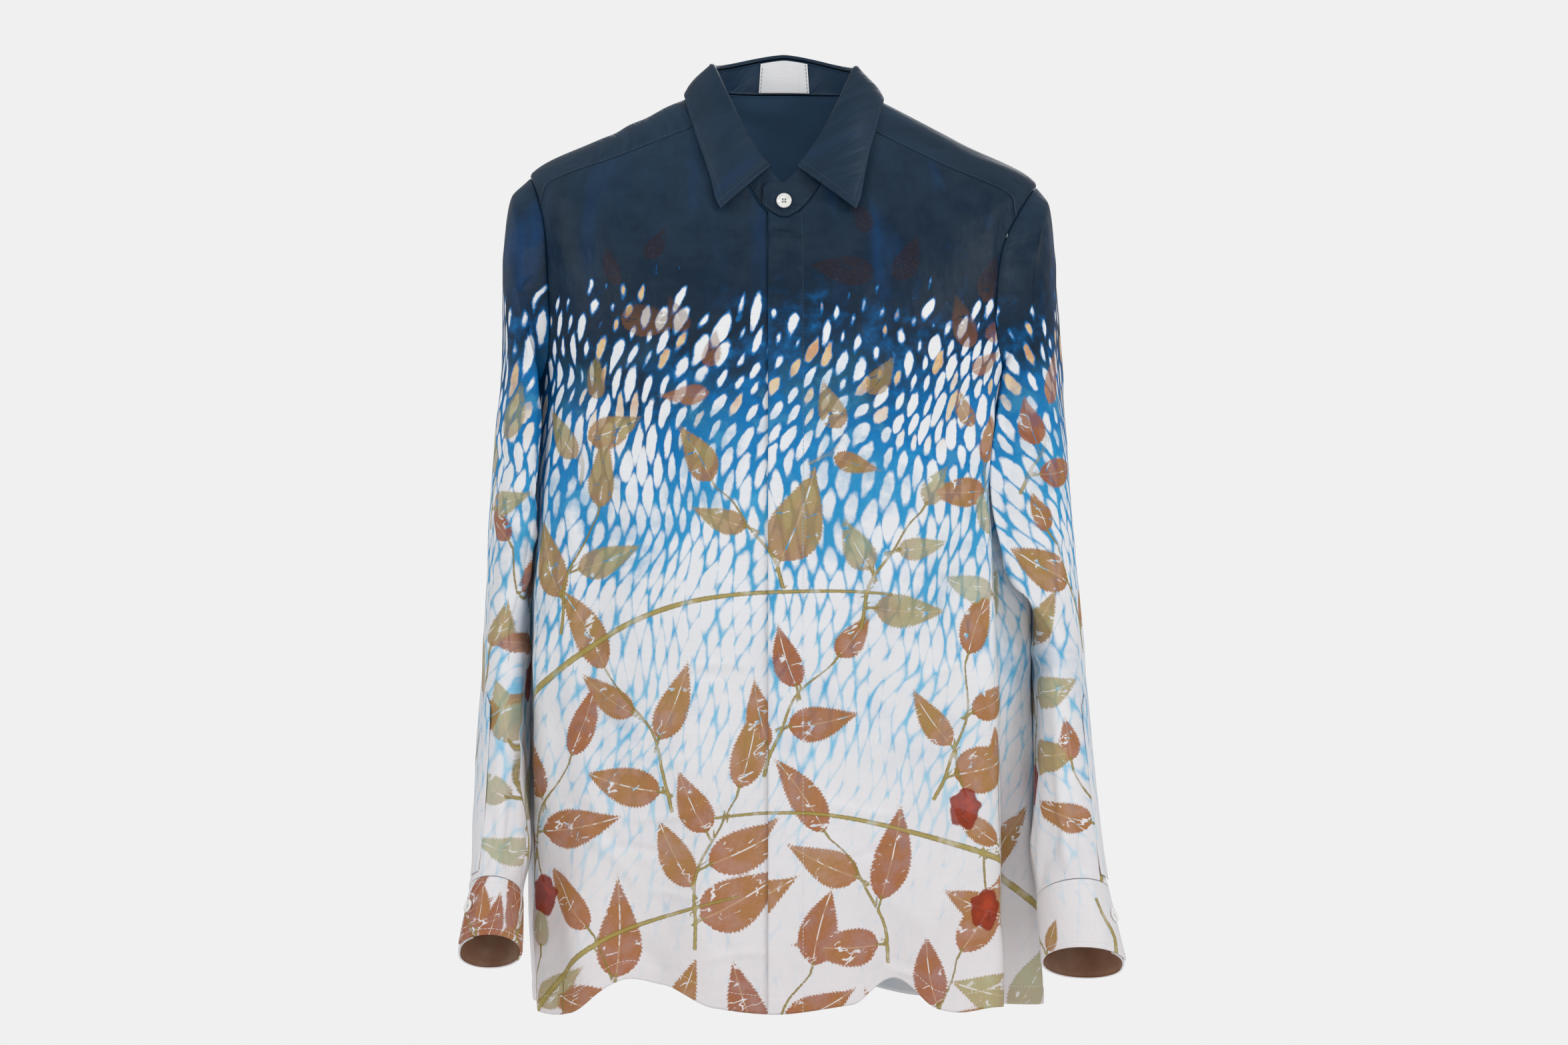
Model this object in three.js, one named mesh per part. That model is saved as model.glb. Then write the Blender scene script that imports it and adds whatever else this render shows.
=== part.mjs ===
// A long-sleeved silk shirt, filled out and held up with nobody in it: front panels, back, yoke, collar, sleeves and
// cuffs, each cut piece one closed wall of cloth. Millimetres, +Z up, the front towards -Y, the wearer's left on +X.
// The origin lies midway between the two points where the shoulder seams meet the neck.

import * as THREE from 'three';

// Cloth and seams
const CLOTH = 1.4;
const INTERLINED = 1.8;
const SEAM = 0.3;
const LAYER_STEP = CLOTH + SEAM + 1.1;

// Widths measured along the cloth from the centre front
const OVER_EDGE = 13;
const UNDER_EDGE = 16;
const STAND_OVER_EDGE = 17;
const STAND_UNDER_EDGE = 15;

// Buttons
const BUTTON_RADIUS = 6.35;
const BUTTON_THICK = 2.4;
const CUFF_BUTTON_RADIUS = 5.5;
const BUTTON_HOLE_RADIUS = 0.8;
const BUTTON_HOLE_SPREAD = 1.5;

// The label behind the neck
const LABEL_HALF_ANGLE = 19;
const LABEL_THICK = 1.0;

const RADIANS = Math.PI / 180;
const UP = new THREE.Vector3(0, 0, 1);

// A table is a list of rows with named columns.
function table(names, rows) {
  return rows.map((row) => Object.fromEntries(names.map((name, i) => [name, row[i]])));
}

// The level sections of the body from hem to neckline. Each is a rounded oblong seen from above, with its own reach to
// the left, right, front and back. Its height is given at the sides, the front and the back. Square is the oblong's
// power (2 is an ellipse), dip shapes the fall towards the front and back, and drop lowers the +X side a little.
const BODY = table(
  ['level', 'left', 'right', 'front', 'back', 'zSide', 'zFront', 'zBack', 'square', 'dip', 'drop'],
  [
    [0.00, 213, 215, 124, 118, -764, -752, -768, 2.5, 2.0, 0],
    [0.10, 217, 213, 123, 116, -690, -682, -692, 2.5, 2.0, 0],
    [0.28, 218, 211, 121, 112, -550, -546, -550, 2.5, 2.0, 0],
    [0.46, 215, 207, 124, 116, -405, -405, -403, 2.5, 2.0, 0],
    [0.60, 209, 203, 129, 124, -292, -296, -288, 2.5, 2.0, 1],
    [0.66, 208, 202, 131, 127, -245, -254, -238, 2.5, 2.0, 2],
    [0.74, 213, 206, 128, 127, -186, -208, -180, 2.5, 2.0, 4],
    [0.82, 217, 212, 117, 118, -122, -170, -114, 2.4, 2.0, 6],
    [0.90, 215, 214, 100, 104, -68, -143, -59, 2.3, 2.0, 8],
    [0.95, 146, 146, 83, 86, -31, -124, -20, 2.2, 1.9, 6],
    [1.00, 66, 66, 63, 60, 8, -106, 9, 2.1, 1.7, 3],
  ],
);

// The collar stand's top edge as a section of the same kind
const STAND_TOP = {
  left: 60.5, right: 60.5, front: 57, back: 59, zSide: 25, zFront: -74, zBack: 40, square: 2.1, dip: 1.4,
  drop: 2,
};

// The armhole is an oval on the body: its middle level, its half height in levels, and how many degrees it reaches
// backwards from the side; each sleeve gives its reach forwards. A roundness below 1 squares it a little. It is divided
// at equal turns, with 0 at the shoulder tip and 90 at the front.
const ARMHOLE = { level: 0.78, half: 0.12, backward: 29, roundness: 0.78, step: 15 };
const ARMHOLE_CLEARANCE = 0.003;
const YOKE_FRONT_TURN = 45;
const YOKE_BACK_TURN = -60;
const YOKE_NECK_ANGLE = 58;

// Folds of the body. Each runs from its low level to its high level, is strongest at its peak level, drifts from one
// angle to the other, and stands out (or in, when minus) by its amount over its half width in degrees.
const BODY_FOLDS = table(
  ['angleLow', 'angleHigh', 'low', 'peak', 'high', 'amount', 'width'],
  [
    [47, 52, -0.5, 0.05, 0.62, 9, 13],
    [63, 62, -0.5, 0.10, 0.45, -17, 14],
    [67, 68, 0.14, 0.50, 0.74, -30, 18],
    [79, 78, -0.6, 0.00, 0.30, 6, 9],
    [-64, -66, -0.5, 0.10, 0.60, 7, 12],
    [-79, -80, -0.5, 0.10, 0.58, -12, 12],
    [-31, -24, -0.6, 0.00, 0.34, -13, 15],
    [-49, -44, -0.6, 0.00, 0.40, 6, 11],
    [23, 20, -0.6, 0.00, 0.26, -12, 10],
    [2, 3, -0.6, 0.02, 0.40, 5, 16],
    [34, 46, 0.20, 0.48, 0.74, -5, 12],
    [-36, -50, 0.18, 0.46, 0.74, -4, 13],
    [121, 116, -0.5, 0.05, 0.50, -12, 13],
    [139, 133, -0.5, 0.06, 0.42, 8, 11],
    [158, 152, -0.5, 0.02, 0.56, -9, 12],
    [178, 177, -0.5, 0.08, 0.50, 7, 13],
    [-160, -154, -0.5, 0.04, 0.46, -11, 12],
    [-139, -134, -0.5, 0.05, 0.58, 8, 12],
    [-118, -114, -0.5, 0.08, 0.50, -12, 13],
    [132, 128, 0.40, 0.60, 0.78, -6, 14],
    [-134, -128, 0.38, 0.58, 0.78, -6, 14],
  ],
);

// The hem hangs in shallow lobes: each lifts (or drops, when minus) the cloth around its place across the shirt.
const HEM_LOBES = table(
  ['x', 'back', 'lift', 'width'],
  [
    [-188, 0, -7, 40],
    [-138, 0, 16, 38],
    [-104, 0, 15, 46],
    [-12, 0, -9, 86],
    [90, 0, 20, 36],
    [142, 0, -6, 36],
    [-128, 1, 8, 50],
    [-40, 1, -6, 54],
    [44, 1, 7, 46],
    [124, 1, -7, 50],
  ],
);
const HEM_LOBE_LEVEL = 0.14;

// The two sleeves, as sections down the arm. Out and in are the distances from the middle of the shirt to the
// section's outer and inner side, y and z its centre, lean the height of the outer side above the inner one, deep its
// half depth, tilt its forward tilt in degrees, and toe how far its front curls inwards.
const SLEEVE_COLUMNS = ['along', 'out', 'in', 'y', 'z', 'lean', 'deep', 'tilt', 'toe', 'square'];
const SLEEVES = [
  {
    name: 'left',
    side: 1,
    forward: 36,
    sections: table(SLEEVE_COLUMNS, [
      [0.035, 222, 207, 0, -168, 160, 73, 0, 8, 2.2],
      [0.10, 228, 211, 1, -192, 138, 74, 0, 20, 2.2],
      [0.20, 234, 213, 3, -244, 92, 76, 0, 42, 2.3],
      [0.34, 241, 214, 8, -322, 44, 75, 0, 54, 2.3],
      [0.48, 248, 217, 13, -404, 14, 71, 4, 44, 2.3],
      [0.60, 253, 217, 0, -474, 6, 64, 15, 12, 2.2],
      [0.76, 258, 217, -36, -562, 5, 59, 22, 8, 2.2],
      [0.90, 264, 212, -64, -634, 5, 53, 24, 4, 2.2],
      [1.00, 269, 209, -79, -668, 4, 42, 24, 0, 2.1],
    ]),
    cuff: { top: [269, 209, -79.1, -668.3, 4, 42, 24], bottom: [282, 211, -102, -722, -3, 41, 25] },
    folds: [
      [76, 80, 0.06, 0.30, 0.56, -7, 26],
      [108, 104, 0.10, 0.28, 0.56, 3, 20],
      [40, 44, 0.10, 0.36, 0.60, 3.5, 24],
      [300, 292, 0.10, 0.34, 0.64, -6, 28],
      [245, 250, 0.16, 0.46, 0.72, 4, 26],
      [108, 96, 0.50, 0.57, 0.66, -6, 34],
      [84, 78, 0.80, 0.96, 1.00, -4.5, 17],
      [103, 98, 0.78, 0.95, 1.00, 4, 15],
      [128, 122, 0.70, 0.90, 1.00, -4, 20],
      [300, 296, 0.76, 0.94, 1.00, -3.5, 20],
      [255, 258, 0.72, 0.93, 1.00, 3.5, 20],
    ],
    closure: 17,
    button: 35,
  },
  {
    name: 'right',
    side: -1,
    forward: 27,
    sections: table(SLEEVE_COLUMNS, [
      [0.035, 229, 210, 0, -166, 162, 74, 0, 4, 2.2],
      [0.10, 236, 213, 1, -190, 140, 75, 0, 9, 2.2],
      [0.20, 239, 215, 3, -242, 94, 76, 0, 22, 2.3],
      [0.34, 245, 219, 7, -322, 46, 75, 0, 26, 2.3],
      [0.48, 251, 222, 11, -404, 16, 71, 4, 20, 2.3],
      [0.60, 254, 225, -2, -474, 6, 64, 14, 10, 2.2],
      [0.76, 257, 224, -34, -562, 4, 59, 21, 10, 2.2],
      [0.90, 259, 221, -62, -634, 3, 53, 24, 6, 2.2],
      [1.00, 261, 216, -76, -667, 2, 45, 24, 0, 2.1],
    ]),
    cuff: { top: [261, 216, -76.1, -667.3, 2, 45, 24], bottom: [270, 215, -99, -713, -2, 44, 25] },
    folds: [
      [98, 92, 0.05, 0.26, 0.92, -7, 26],
      [132, 126, 0.08, 0.24, 0.60, 5, 22],
      [60, 56, 0.10, 0.40, 0.80, 4, 24],
      [296, 290, 0.10, 0.38, 0.66, -6, 28],
      [250, 246, 0.16, 0.50, 0.76, 4, 26],
      [112, 100, 0.50, 0.56, 0.64, -4, 34],
      [122, 118, 0.78, 0.93, 1.00, -5, 20],
      [146, 142, 0.76, 0.92, 1.00, 3.5, 18],
      [72, 78, 0.80, 0.95, 1.00, -3.5, 18],
      [298, 294, 0.76, 0.94, 1.00, -3.5, 20],
    ],
    closure: 30,
    button: 48,
  },
];
const TOE_POWER = 3;
const FOLD_COLUMNS = ['angleLow', 'angleHigh', 'low', 'peak', 'high', 'amount', 'width'];
const SLEEVE_PLACKET = { from: 4, to: 28, start: 0.70, point: 0.675, end: 0.985 };
const PLACKET_THICK = 1.1;
const PLACKET_SEAT = 0.55;

// The collar leaf's outer edge, from the wearer's right point round the back to the left point: where along the leaf,
// and its angle, level and lift above the body.
const LEAF_EDGE = table(
  ['along', 'angle', 'level', 'lift'],
  [
    [0.00, -23, 0.963, 5.0],
    [0.09, -38, 0.979, 4.2],
    [0.17, -54, 0.985, 3.8],
    [0.26, -88, 0.989, 3.4],
    [0.50, -180, 0.976, 3.4],
    [0.74, -272, 0.989, 3.4],
    [0.83, -307, 0.984, 3.8],
    [0.91, -321, 0.976, 4.2],
    [1.00, -335, 0.959, 5.0],
  ],
);
const LEAF_END_ANGLE = 10;
const LEAF_ROLL_RADIUS = 2.8;
const LEAF_ROLL_SHARE = 0.3;
const LEAF_BOW = 2.5;
const LEAF_SEAT = 1.2;

// A smooth value of each column at t: cubic pieces between the rows, whose slopes never overshoot a row.
function smoothRow(rows, key, t) {
  const last = rows.length - 1;
  const clamped = Math.min(Math.max(t, rows[0][key]), rows[last][key]);
  let i = 0;
  while (i < last - 1 && clamped > rows[i + 1][key]) i += 1;
  const step = rows[i + 1][key] - rows[i][key];
  const s = (clamped - rows[i][key]) / step;
  const result = {};
  for (const name of Object.keys(rows[0])) {
    const slopeHere = rowSlope(rows, key, name, i);
    const slopeNext = rowSlope(rows, key, name, i + 1);
    const rise = rows[i + 1][name] - rows[i][name];
    const bend = s * s * (3 - 2 * s);
    const ease = s * (1 - s);
    result[name] = rows[i][name] + rise * bend + step * ease * (slopeHere * (1 - s) - slopeNext * s);
  }
  return result;
}

// The slope at row i: the harmonic mean of the slopes to both sides, or 0 at a high or low point.
function rowSlope(rows, key, name, i) {
  const secant = (k) => (rows[k + 1][name] - rows[k][name]) / (rows[k + 1][key] - rows[k][key]);
  if (i === 0) return secant(0);
  if (i === rows.length - 1) return secant(i - 1);
  const before = secant(i - 1);
  const after = secant(i);
  return before * after > 0 ? (2 * before * after) / (before + after) : 0;
}

// 1 at the middle of a fold, 0 at its half width and beyond
function bump(distance, width) {
  return Math.abs(distance) < width ? 0.5 + 0.5 * Math.cos((Math.PI * distance) / width) : 0;
}

function wrapDegrees(angle) {
  return ((((angle + 180) % 360) + 360) % 360) - 180;
}

// How far the folds push the cloth out at an angle and a place along their length
function foldAmount(folds, angle, along) {
  let sum = 0;
  for (const fold of folds) {
    if (along <= fold.low || along >= fold.high) continue;
    const rising = along < fold.peak;
    const fade = rising ? (along - fold.low) / (fold.peak - fold.low) : (fold.high - along) / (fold.high - fold.peak);
    const share = (along - fold.low) / (fold.high - fold.low);
    const middle = fold.angleLow + (fold.angleHigh - fold.angleLow) * share;
    sum += fold.amount * fade * fade * (3 - 2 * fade) * bump(wrapDegrees(angle - middle), fold.width);
  }
  return sum;
}

// A point of a section: the superellipse x = reach sin^e, y = -reach cos^e with e = 2 / square, and a height that
// passes from the side's to the front's or back's as 1 - sin^dip.
function sectionPoint(section, angle) {
  const sine = Math.sin(angle * RADIANS);
  const cosine = Math.cos(angle * RADIANS);
  const power = 2 / section.square;
  const reachX = sine >= 0 ? section.right : section.left;
  const reachY = cosine >= 0 ? section.front : section.back;
  const zEnd = cosine >= 0 ? section.zFront : section.zBack;
  const share = 1 - Math.abs(sine) ** section.dip;
  return new THREE.Vector3(
    Math.sign(sine) * reachX * Math.abs(sine) ** power,
    -Math.sign(cosine) * reachY * Math.abs(cosine) ** power,
    section.zSide + (zEnd - section.zSide) * share - section.drop * Math.max(0, sine) ** 2,
  );
}

// The angle at which a section reaches x to one side of the centre front
function angleAtX(section, x) {
  const reach = x >= 0 ? section.right : section.left;
  return (Math.sign(x) * Math.asin((Math.abs(x) / reach) ** (section.square / 2))) / RADIANS;
}

// The outer face of the body at an angle round it and a level from hem to neckline
function bodyPoint(angle, level) {
  const section = smoothRow(BODY, 'level', level);
  const point = sectionPoint(section, angle);
  const reachX = point.x >= 0 ? section.right : section.left;
  const reachY = point.y <= 0 ? section.front : section.back;
  const outward = new THREE.Vector3(point.x / reachX ** 2, point.y / reachY ** 2, 0).normalize();
  point.addScaledVector(outward, foldAmount(BODY_FOLDS, angle, level));
  if (level < HEM_LOBE_LEVEL) {
    const fade = 1 - level / HEM_LOBE_LEVEL;
    for (const lobe of HEM_LOBES) {
      if (lobe.back === (point.y > 0 ? 1 : 0)) {
        const weight = Math.min(1, Math.abs(point.y) / 60);
        point.z += lobe.lift * fade * fade * weight * bump(point.x - lobe.x, lobe.width);
      }
    }
  }
  return point;
}

// The outward normal of a surface with two parameters, by small differences that stay inside its limits
function normalOf(surface, a, b, low = 0, high = 1, sign = 1) {
  const stepA = 0.5;
  const stepB = 0.004;
  const alongA = surface(a + stepA, b).sub(surface(a - stepA, b));
  const alongB = surface(a, Math.min(b + stepB, high)).sub(surface(a, Math.max(b - stepB, low)));
  return alongA.cross(alongB).normalize().multiplyScalar(sign);
}

// The armhole's angle and level at a turn round it, for one side; scale shrinks or grows the oval
function armholePlace(turn, side, scale = 1) {
  const squared = (value) => Math.sign(value) * Math.abs(value) ** ARMHOLE.roundness;
  const across = squared(Math.sin(turn * RADIANS));
  const up = squared(Math.cos(turn * RADIANS));
  const reach = across >= 0 ? sleeveOn(side).forward : ARMHOLE.backward;
  return {
    angle: side * (90 - reach * scale * across),
    level: ARMHOLE.level + ARMHOLE.half * scale * up,
  };
}

// A sleeve section's point: the superellipse of its half width and half depth, leaning, tilted and toed in
function sleeveSectionPoint(section, side, turn) {
  const power = 2 / section.square;
  const cosine = Math.cos(turn * RADIANS);
  const sine = Math.sin(turn * RADIANS);
  const outward = Math.sign(cosine) * Math.abs(cosine) ** power;
  const forward = Math.sign(sine) * Math.abs(sine) ** power;
  const halfWidth = (section.out - section.in) / 2;
  const tilt = section.tilt * RADIANS;
  return new THREE.Vector3(
    side * ((section.out + section.in) / 2 + halfWidth * outward - section.toe * Math.max(0, forward) ** TOE_POWER),
    section.y - section.deep * Math.cos(tilt) * forward,
    section.z + (section.lean / 2) * outward + section.deep * Math.sin(tilt) * forward,
  );
}

// The outer face of a sleeve at a turn round it and a place along it, from the armhole (0) to the cuff seam (1)
function sleevePoint(sleeve, turn, along) {
  const start = armholePlace(turn, sleeve.side, 1 - ARMHOLE_CLEARANCE);
  const first = bodyPoint(start.angle, start.level);
  const knots = [{ along: 0, x: first.x, y: first.y, z: first.z }];
  for (const section of sleeve.sections) {
    const p = sleeveSectionPoint(section, sleeve.side, turn);
    knots.push({ along: section.along, x: p.x, y: p.y, z: p.z });
  }
  const place = smoothRow(knots, 'along', along);
  const point = new THREE.Vector3(place.x, place.y, place.z);
  const section = smoothRow(sleeve.sections, 'along', along);
  const tilt = section.tilt * RADIANS;
  const outward = Math.cos(turn * RADIANS) / (section.out - section.in);
  const forward = Math.sin(turn * RADIANS) / (2 * section.deep);
  const push = new THREE.Vector3(sleeve.side * outward, -forward * Math.cos(tilt), forward * Math.sin(tilt));
  return point.addScaledVector(push.normalize(), foldAmount(sleeve.foldTable, turn, along));
}

// The normal shared by the body's armhole edge and the sleeve's first ring: halfway between the two cloths, so that
// the two walls meet in a mitre.
function armholeNormal(sleeve, turn) {
  const place = armholePlace(turn, sleeve.side);
  const ofBody = normalOf(bodyPoint, place.angle, place.level);
  const ofSleeve = normalOf((a, b) => sleevePoint(sleeve, a, b), turn, 0.008, 0, 1, sleeve.side);
  return ofBody.add(ofSleeve).normalize();
}

// A grid of points and normals over a surface; places gives each row's list of parameter pairs
function gridOver(surface, places, normalAt) {
  return {
    points: places.map((row) => row.map(([a, b]) => surface(a, b))),
    normals: places.map((row) => row.map(([a, b]) => normalAt(a, b))),
  };
}

// Moves an edge's points towards the next row or column by half a seam, so that two pieces stand a seam apart
function insetEdge(grid, edge) {
  const rows = grid.points.length;
  const columns = grid.points[0].length;
  const shift = (row, column, nextRow, nextColumn) => {
    const here = grid.points[row][column];
    const towards = grid.points[nextRow][nextColumn].clone().sub(here).normalize();
    here.addScaledVector(towards, SEAM * 0.6);
  };
  for (let row = 0; row < rows && (edge === 'first' || edge === 'last'); row += 1) {
    if (edge === 'first') shift(row, 0, row, 1);
    else shift(row, columns - 1, row, columns - 2);
  }
  for (let column = 0; column < columns && (edge === 'low' || edge === 'high'); column += 1) {
    if (edge === 'low') shift(0, column, 1, column);
    else shift(rows - 1, column, rows - 2, column);
  }
}

// Moves a whole grid along its normals
function liftGrid(grid, distance) {
  const move = (row, j) => row.map((point, i) => point.clone().addScaledVector(grid.normals[j][i], distance));
  return { points: grid.points.map(move), normals: grid.normals };
}

// One closed wall of cloth: the outer grid, the inner grid one thickness further in, and a rim along each open edge.
// Rows run along the second parameter. A tube has its columns joined round.
function wallOf(grid, thickness, { tube = false, turned = false } = {}) {
  const rows = grid.points.length;
  const columns = grid.points[0].length;
  const inner = liftGrid(grid, -thickness);
  const positions = [];
  for (const layer of [grid.points, inner.points]) {
    for (const row of layer) for (const point of row) positions.push(point.x, point.y, point.z);
  }
  const outerAt = (row, column) => row * columns + (column % columns);
  const innerAt = (row, column) => rows * columns + outerAt(row, column);
  const faces = [];
  const quad = (a, b, c, d) => (turned ? faces.push(a, c, b, a, d, c) : faces.push(a, b, c, a, c, d));
  const lastColumn = tube ? columns : columns - 1;
  for (let row = 0; row < rows - 1; row += 1) {
    for (let column = 0; column < lastColumn; column += 1) {
      const corners = [[row, column], [row, column + 1], [row + 1, column + 1], [row + 1, column]];
      const [a, b, c, d] = corners.map(([r, k]) => outerAt(r, k));
      quad(a, b, c, d);
      const [e, f, g, h] = corners.map(([r, k]) => innerAt(r, k));
      if (turned) faces.push(e, f, g, e, g, h);
      else faces.push(e, g, f, e, h, g);
    }
  }
  const top = rows - 1;
  for (let column = 0; column < lastColumn; column += 1) {
    quad(outerAt(0, column + 1), outerAt(0, column), innerAt(0, column), innerAt(0, column + 1));
    quad(outerAt(top, column), outerAt(top, column + 1), innerAt(top, column + 1), innerAt(top, column));
  }
  for (let row = 0; row < top && !tube; row += 1) {
    const end = columns - 1;
    quad(outerAt(row, 0), outerAt(row + 1, 0), innerAt(row + 1, 0), innerAt(row, 0));
    quad(outerAt(row + 1, end), outerAt(row, end), innerAt(row, end), innerAt(row + 1, end));
  }
  const geometry = new THREE.BufferGeometry();
  geometry.setAttribute('position', new THREE.Float32BufferAttribute(positions, 3));
  geometry.setIndex(faces);
  geometry.computeVertexNormals();
  return geometry;
}

function spread(from, to, count) {
  return Array.from({ length: count + 1 }, (_, i) => from + ((to - from) * i) / count);
}

const shirt = new THREE.Group();
const FINISH = {
  silk: { color: 0x6f9cc4, roughness: 0.45 },
  silkPale: { color: 0xe4dfe2, roughness: 0.45 },
  silkDark: { color: 0x24364c, roughness: 0.5 },
  button: { color: 0xf3f3f1, roughness: 0.25 },
  label: { color: 0xf2f2f0, roughness: 0.8 },
};

function addPiece(name, geometry, finish) {
  const mesh = new THREE.Mesh(geometry, new THREE.MeshStandardMaterial({ ...FINISH[finish], metalness: 0 }));
  mesh.name = name;
  shirt.add(mesh);
  return mesh;
}

for (const sleeve of SLEEVES) sleeve.foldTable = table(FOLD_COLUMNS, sleeve.folds);
const leftSleeve = SLEEVES.find((sleeve) => sleeve.side === 1);
const rightSleeve = SLEEVES.find((sleeve) => sleeve.side === -1);
const sleeveOn = (side) => (side > 0 ? leftSleeve : rightSleeve);

// Levels shared by the pieces: below the armholes, along them, and over the shoulder
const underarm = armholePlace(180, 1, 1 + ARMHOLE_CLEARANCE).level;
const torsoLevels = spread(0, underarm, 9).slice(0, 9);
const turnsBetween = (from, to) => spread(from, to, Math.abs(to - from) / ARMHOLE.step);
const frontTurns = turnsBetween(180, YOKE_FRONT_TURN);
const backTurns = turnsBetween(180, 360 + YOKE_BACK_TURN);
const SHOULDER_SHARES = [0.28, 0.56, 0.80, 1];

// The rows of a panel that ends at the armhole on one side: level, edge angle and the armhole turn, if it has one
function sideRows(side, turns, withShoulder) {
  const rows = torsoLevels.map((level) => ({ level, edge: side * 90 }));
  for (const turn of turns) {
    const place = armholePlace(turn, side, 1 + ARMHOLE_CLEARANCE);
    rows.push({ level: place.level, edge: place.angle, turn });
  }
  if (withShoulder) {
    const corner = rows[rows.length - 1];
    for (const share of SHOULDER_SHARES) {
      const level = corner.level + (1 - corner.level) * share;
      rows.push({ level, edge: corner.edge + (side * YOKE_NECK_ANGLE - corner.edge) * share });
    }
  }
  return rows;
}

// Gives the end points of the rows on an armhole the normal that they share with the sleeve
function mitreArmhole(grid, rows, column, side) {
  rows.forEach((row, j) => {
    if (row.turn !== undefined) grid.normals[j][column] = armholeNormal(sleeveOn(side), row.turn);
  });
}

// The two fronts. The wearer's left front lies over the right one, which steps in by one layer near the centre.
const HELD_ANGLE = 44;
const FRONT_HELD_COLUMNS = 9;
const FRONT_EDGE_COLUMNS = 6;
const FRONT_COLUMNS = FRONT_HELD_COLUMNS + FRONT_EDGE_COLUMNS + 1;
const FRONT_SPACING = 1.3;
const UNDER_FADE = { full: -19, none: -62 };

// How far the right side's cloth steps in at a distance x across the front, so as to pass under the left side's
function underStep(x, step) {
  const share = Math.min(1, Math.max(0, (x - UNDER_FADE.none) / (UNDER_FADE.full - UNDER_FADE.none)));
  return -step * share * share * (3 - 2 * share);
}

function frontPanel(side) {
  const rows = sideRows(side, frontTurns, true);
  const places = rows.map(({ level, edge }) => {
    const section = smoothRow(BODY, 'level', level);
    const centre = angleAtX(section, side > 0 ? -OVER_EDGE : UNDER_EDGE);
    const held = spread(0, 1, FRONT_HELD_COLUMNS).map((share) => share ** FRONT_SPACING);
    const upright = held.map((share) => centre + (side * HELD_ANGLE - centre) * share);
    const angles = [...upright, ...spread(side * HELD_ANGLE, edge, FRONT_EDGE_COLUMNS).slice(1)];
    return (side > 0 ? angles : angles.reverse()).map((angle) => [angle, level]);
  });
  const grid = gridOver(bodyPoint, places, (a, b) => normalOf(bodyPoint, a, b));
  if (side < 0) {
    grid.points.forEach((row, j) => row.forEach((point, i) => {
      point.addScaledVector(grid.normals[j][i], underStep(point.x, LAYER_STEP));
    }));
  }
  mitreArmhole(grid, rows, side > 0 ? FRONT_COLUMNS - 1 : 0, side);
  insetEdge(grid, side > 0 ? 'last' : 'first');
  insetEdge(grid, 'high');
  return wallOf(grid, CLOTH);
}

addPiece('front_left', frontPanel(1), 'silk');
addPiece('front_right', frontPanel(-1), 'silk');

// The back, from side seam to side seam, below the yoke
const BACK_HELD_COLUMNS = 14;
const BACK_EDGE_COLUMNS = 6;
const BACK_COLUMNS = BACK_HELD_COLUMNS + 2 * BACK_EDGE_COLUMNS + 1;

function backPanel() {
  const leftRows = sideRows(1, backTurns, false);
  const held = 180 - HELD_ANGLE;
  const places = leftRows.map(({ level, edge }) => {
    const nearLeft = spread(edge, held, BACK_EDGE_COLUMNS);
    const upright = spread(held, 360 - held, BACK_HELD_COLUMNS).slice(1, -1);
    const angles = [...nearLeft, ...upright, ...nearLeft.map((angle) => 360 - angle).reverse()];
    return angles.map((angle) => [angle, level]);
  });
  const grid = gridOver(bodyPoint, places, (a, b) => normalOf(bodyPoint, a, b));
  mitreArmhole(grid, leftRows, 0, 1);
  mitreArmhole(grid, leftRows, BACK_COLUMNS - 1, -1);
  insetEdge(grid, 'first');
  insetEdge(grid, 'last');
  insetEdge(grid, 'high');
  return wallOf(grid, CLOTH);
}

addPiece('back', backPanel(), 'silk');

// The yoke, over both shoulders: its lower edge follows the armhole, the back seam and the other armhole
function yokePanel() {
  const turns = turnsBetween(YOKE_FRONT_TURN, YOKE_BACK_TURN);
  const grown = 1 + ARMHOLE_CLEARANCE;
  const leftSide = turns.map((turn) => ({ ...armholePlace(turn, 1, grown), turn, side: 1 }));
  const corner = leftSide[leftSide.length - 1];
  const across = spread(corner.angle, 360 - corner.angle, 12).slice(1, -1);
  const middle = across.map((angle) => ({ angle, level: corner.level }));
  const rightSide = turns.map((turn) => {
    const place = armholePlace(turn, -1, grown);
    return { level: place.level, angle: 360 + place.angle, turn, side: -1 };
  }).reverse();
  const low = [...leftSide, ...middle, ...rightSide];
  const lowSpan = low[low.length - 1].angle - low[0].angle;
  const neckSpan = 360 - 2 * YOKE_NECK_ANGLE;
  const places = [0, ...SHOULDER_SHARES].map((share) => low.map((place) => {
    const neckAngle = YOKE_NECK_ANGLE + (neckSpan * (place.angle - low[0].angle)) / lowSpan;
    return [place.angle + (neckAngle - place.angle) * share, place.level + (1 - place.level) * share];
  }));
  const grid = gridOver(bodyPoint, places, (a, b) => normalOf(bodyPoint, a, b));
  low.forEach((place, i) => {
    if (place.turn !== undefined) grid.normals[0][i] = armholeNormal(sleeveOn(place.side), place.turn);
  });
  for (const edge of ['first', 'last', 'low', 'high']) insetEdge(grid, edge);
  return wallOf(grid, CLOTH);
}

addPiece('yoke', yokePanel(), 'silkDark');

// The sleeves, tubes from the armhole to the cuff seam
const SLEEVE_ROWS = [0, 0.018, 0.045, 0.08, 0.12, 0.17, 0.22, 0.28, 0.34, 0.40, 0.46, 0.52, 0.57, 0.62, 0.68, 0.75,
  0.81, 0.87, 0.92, 0.965, 1];

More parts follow.
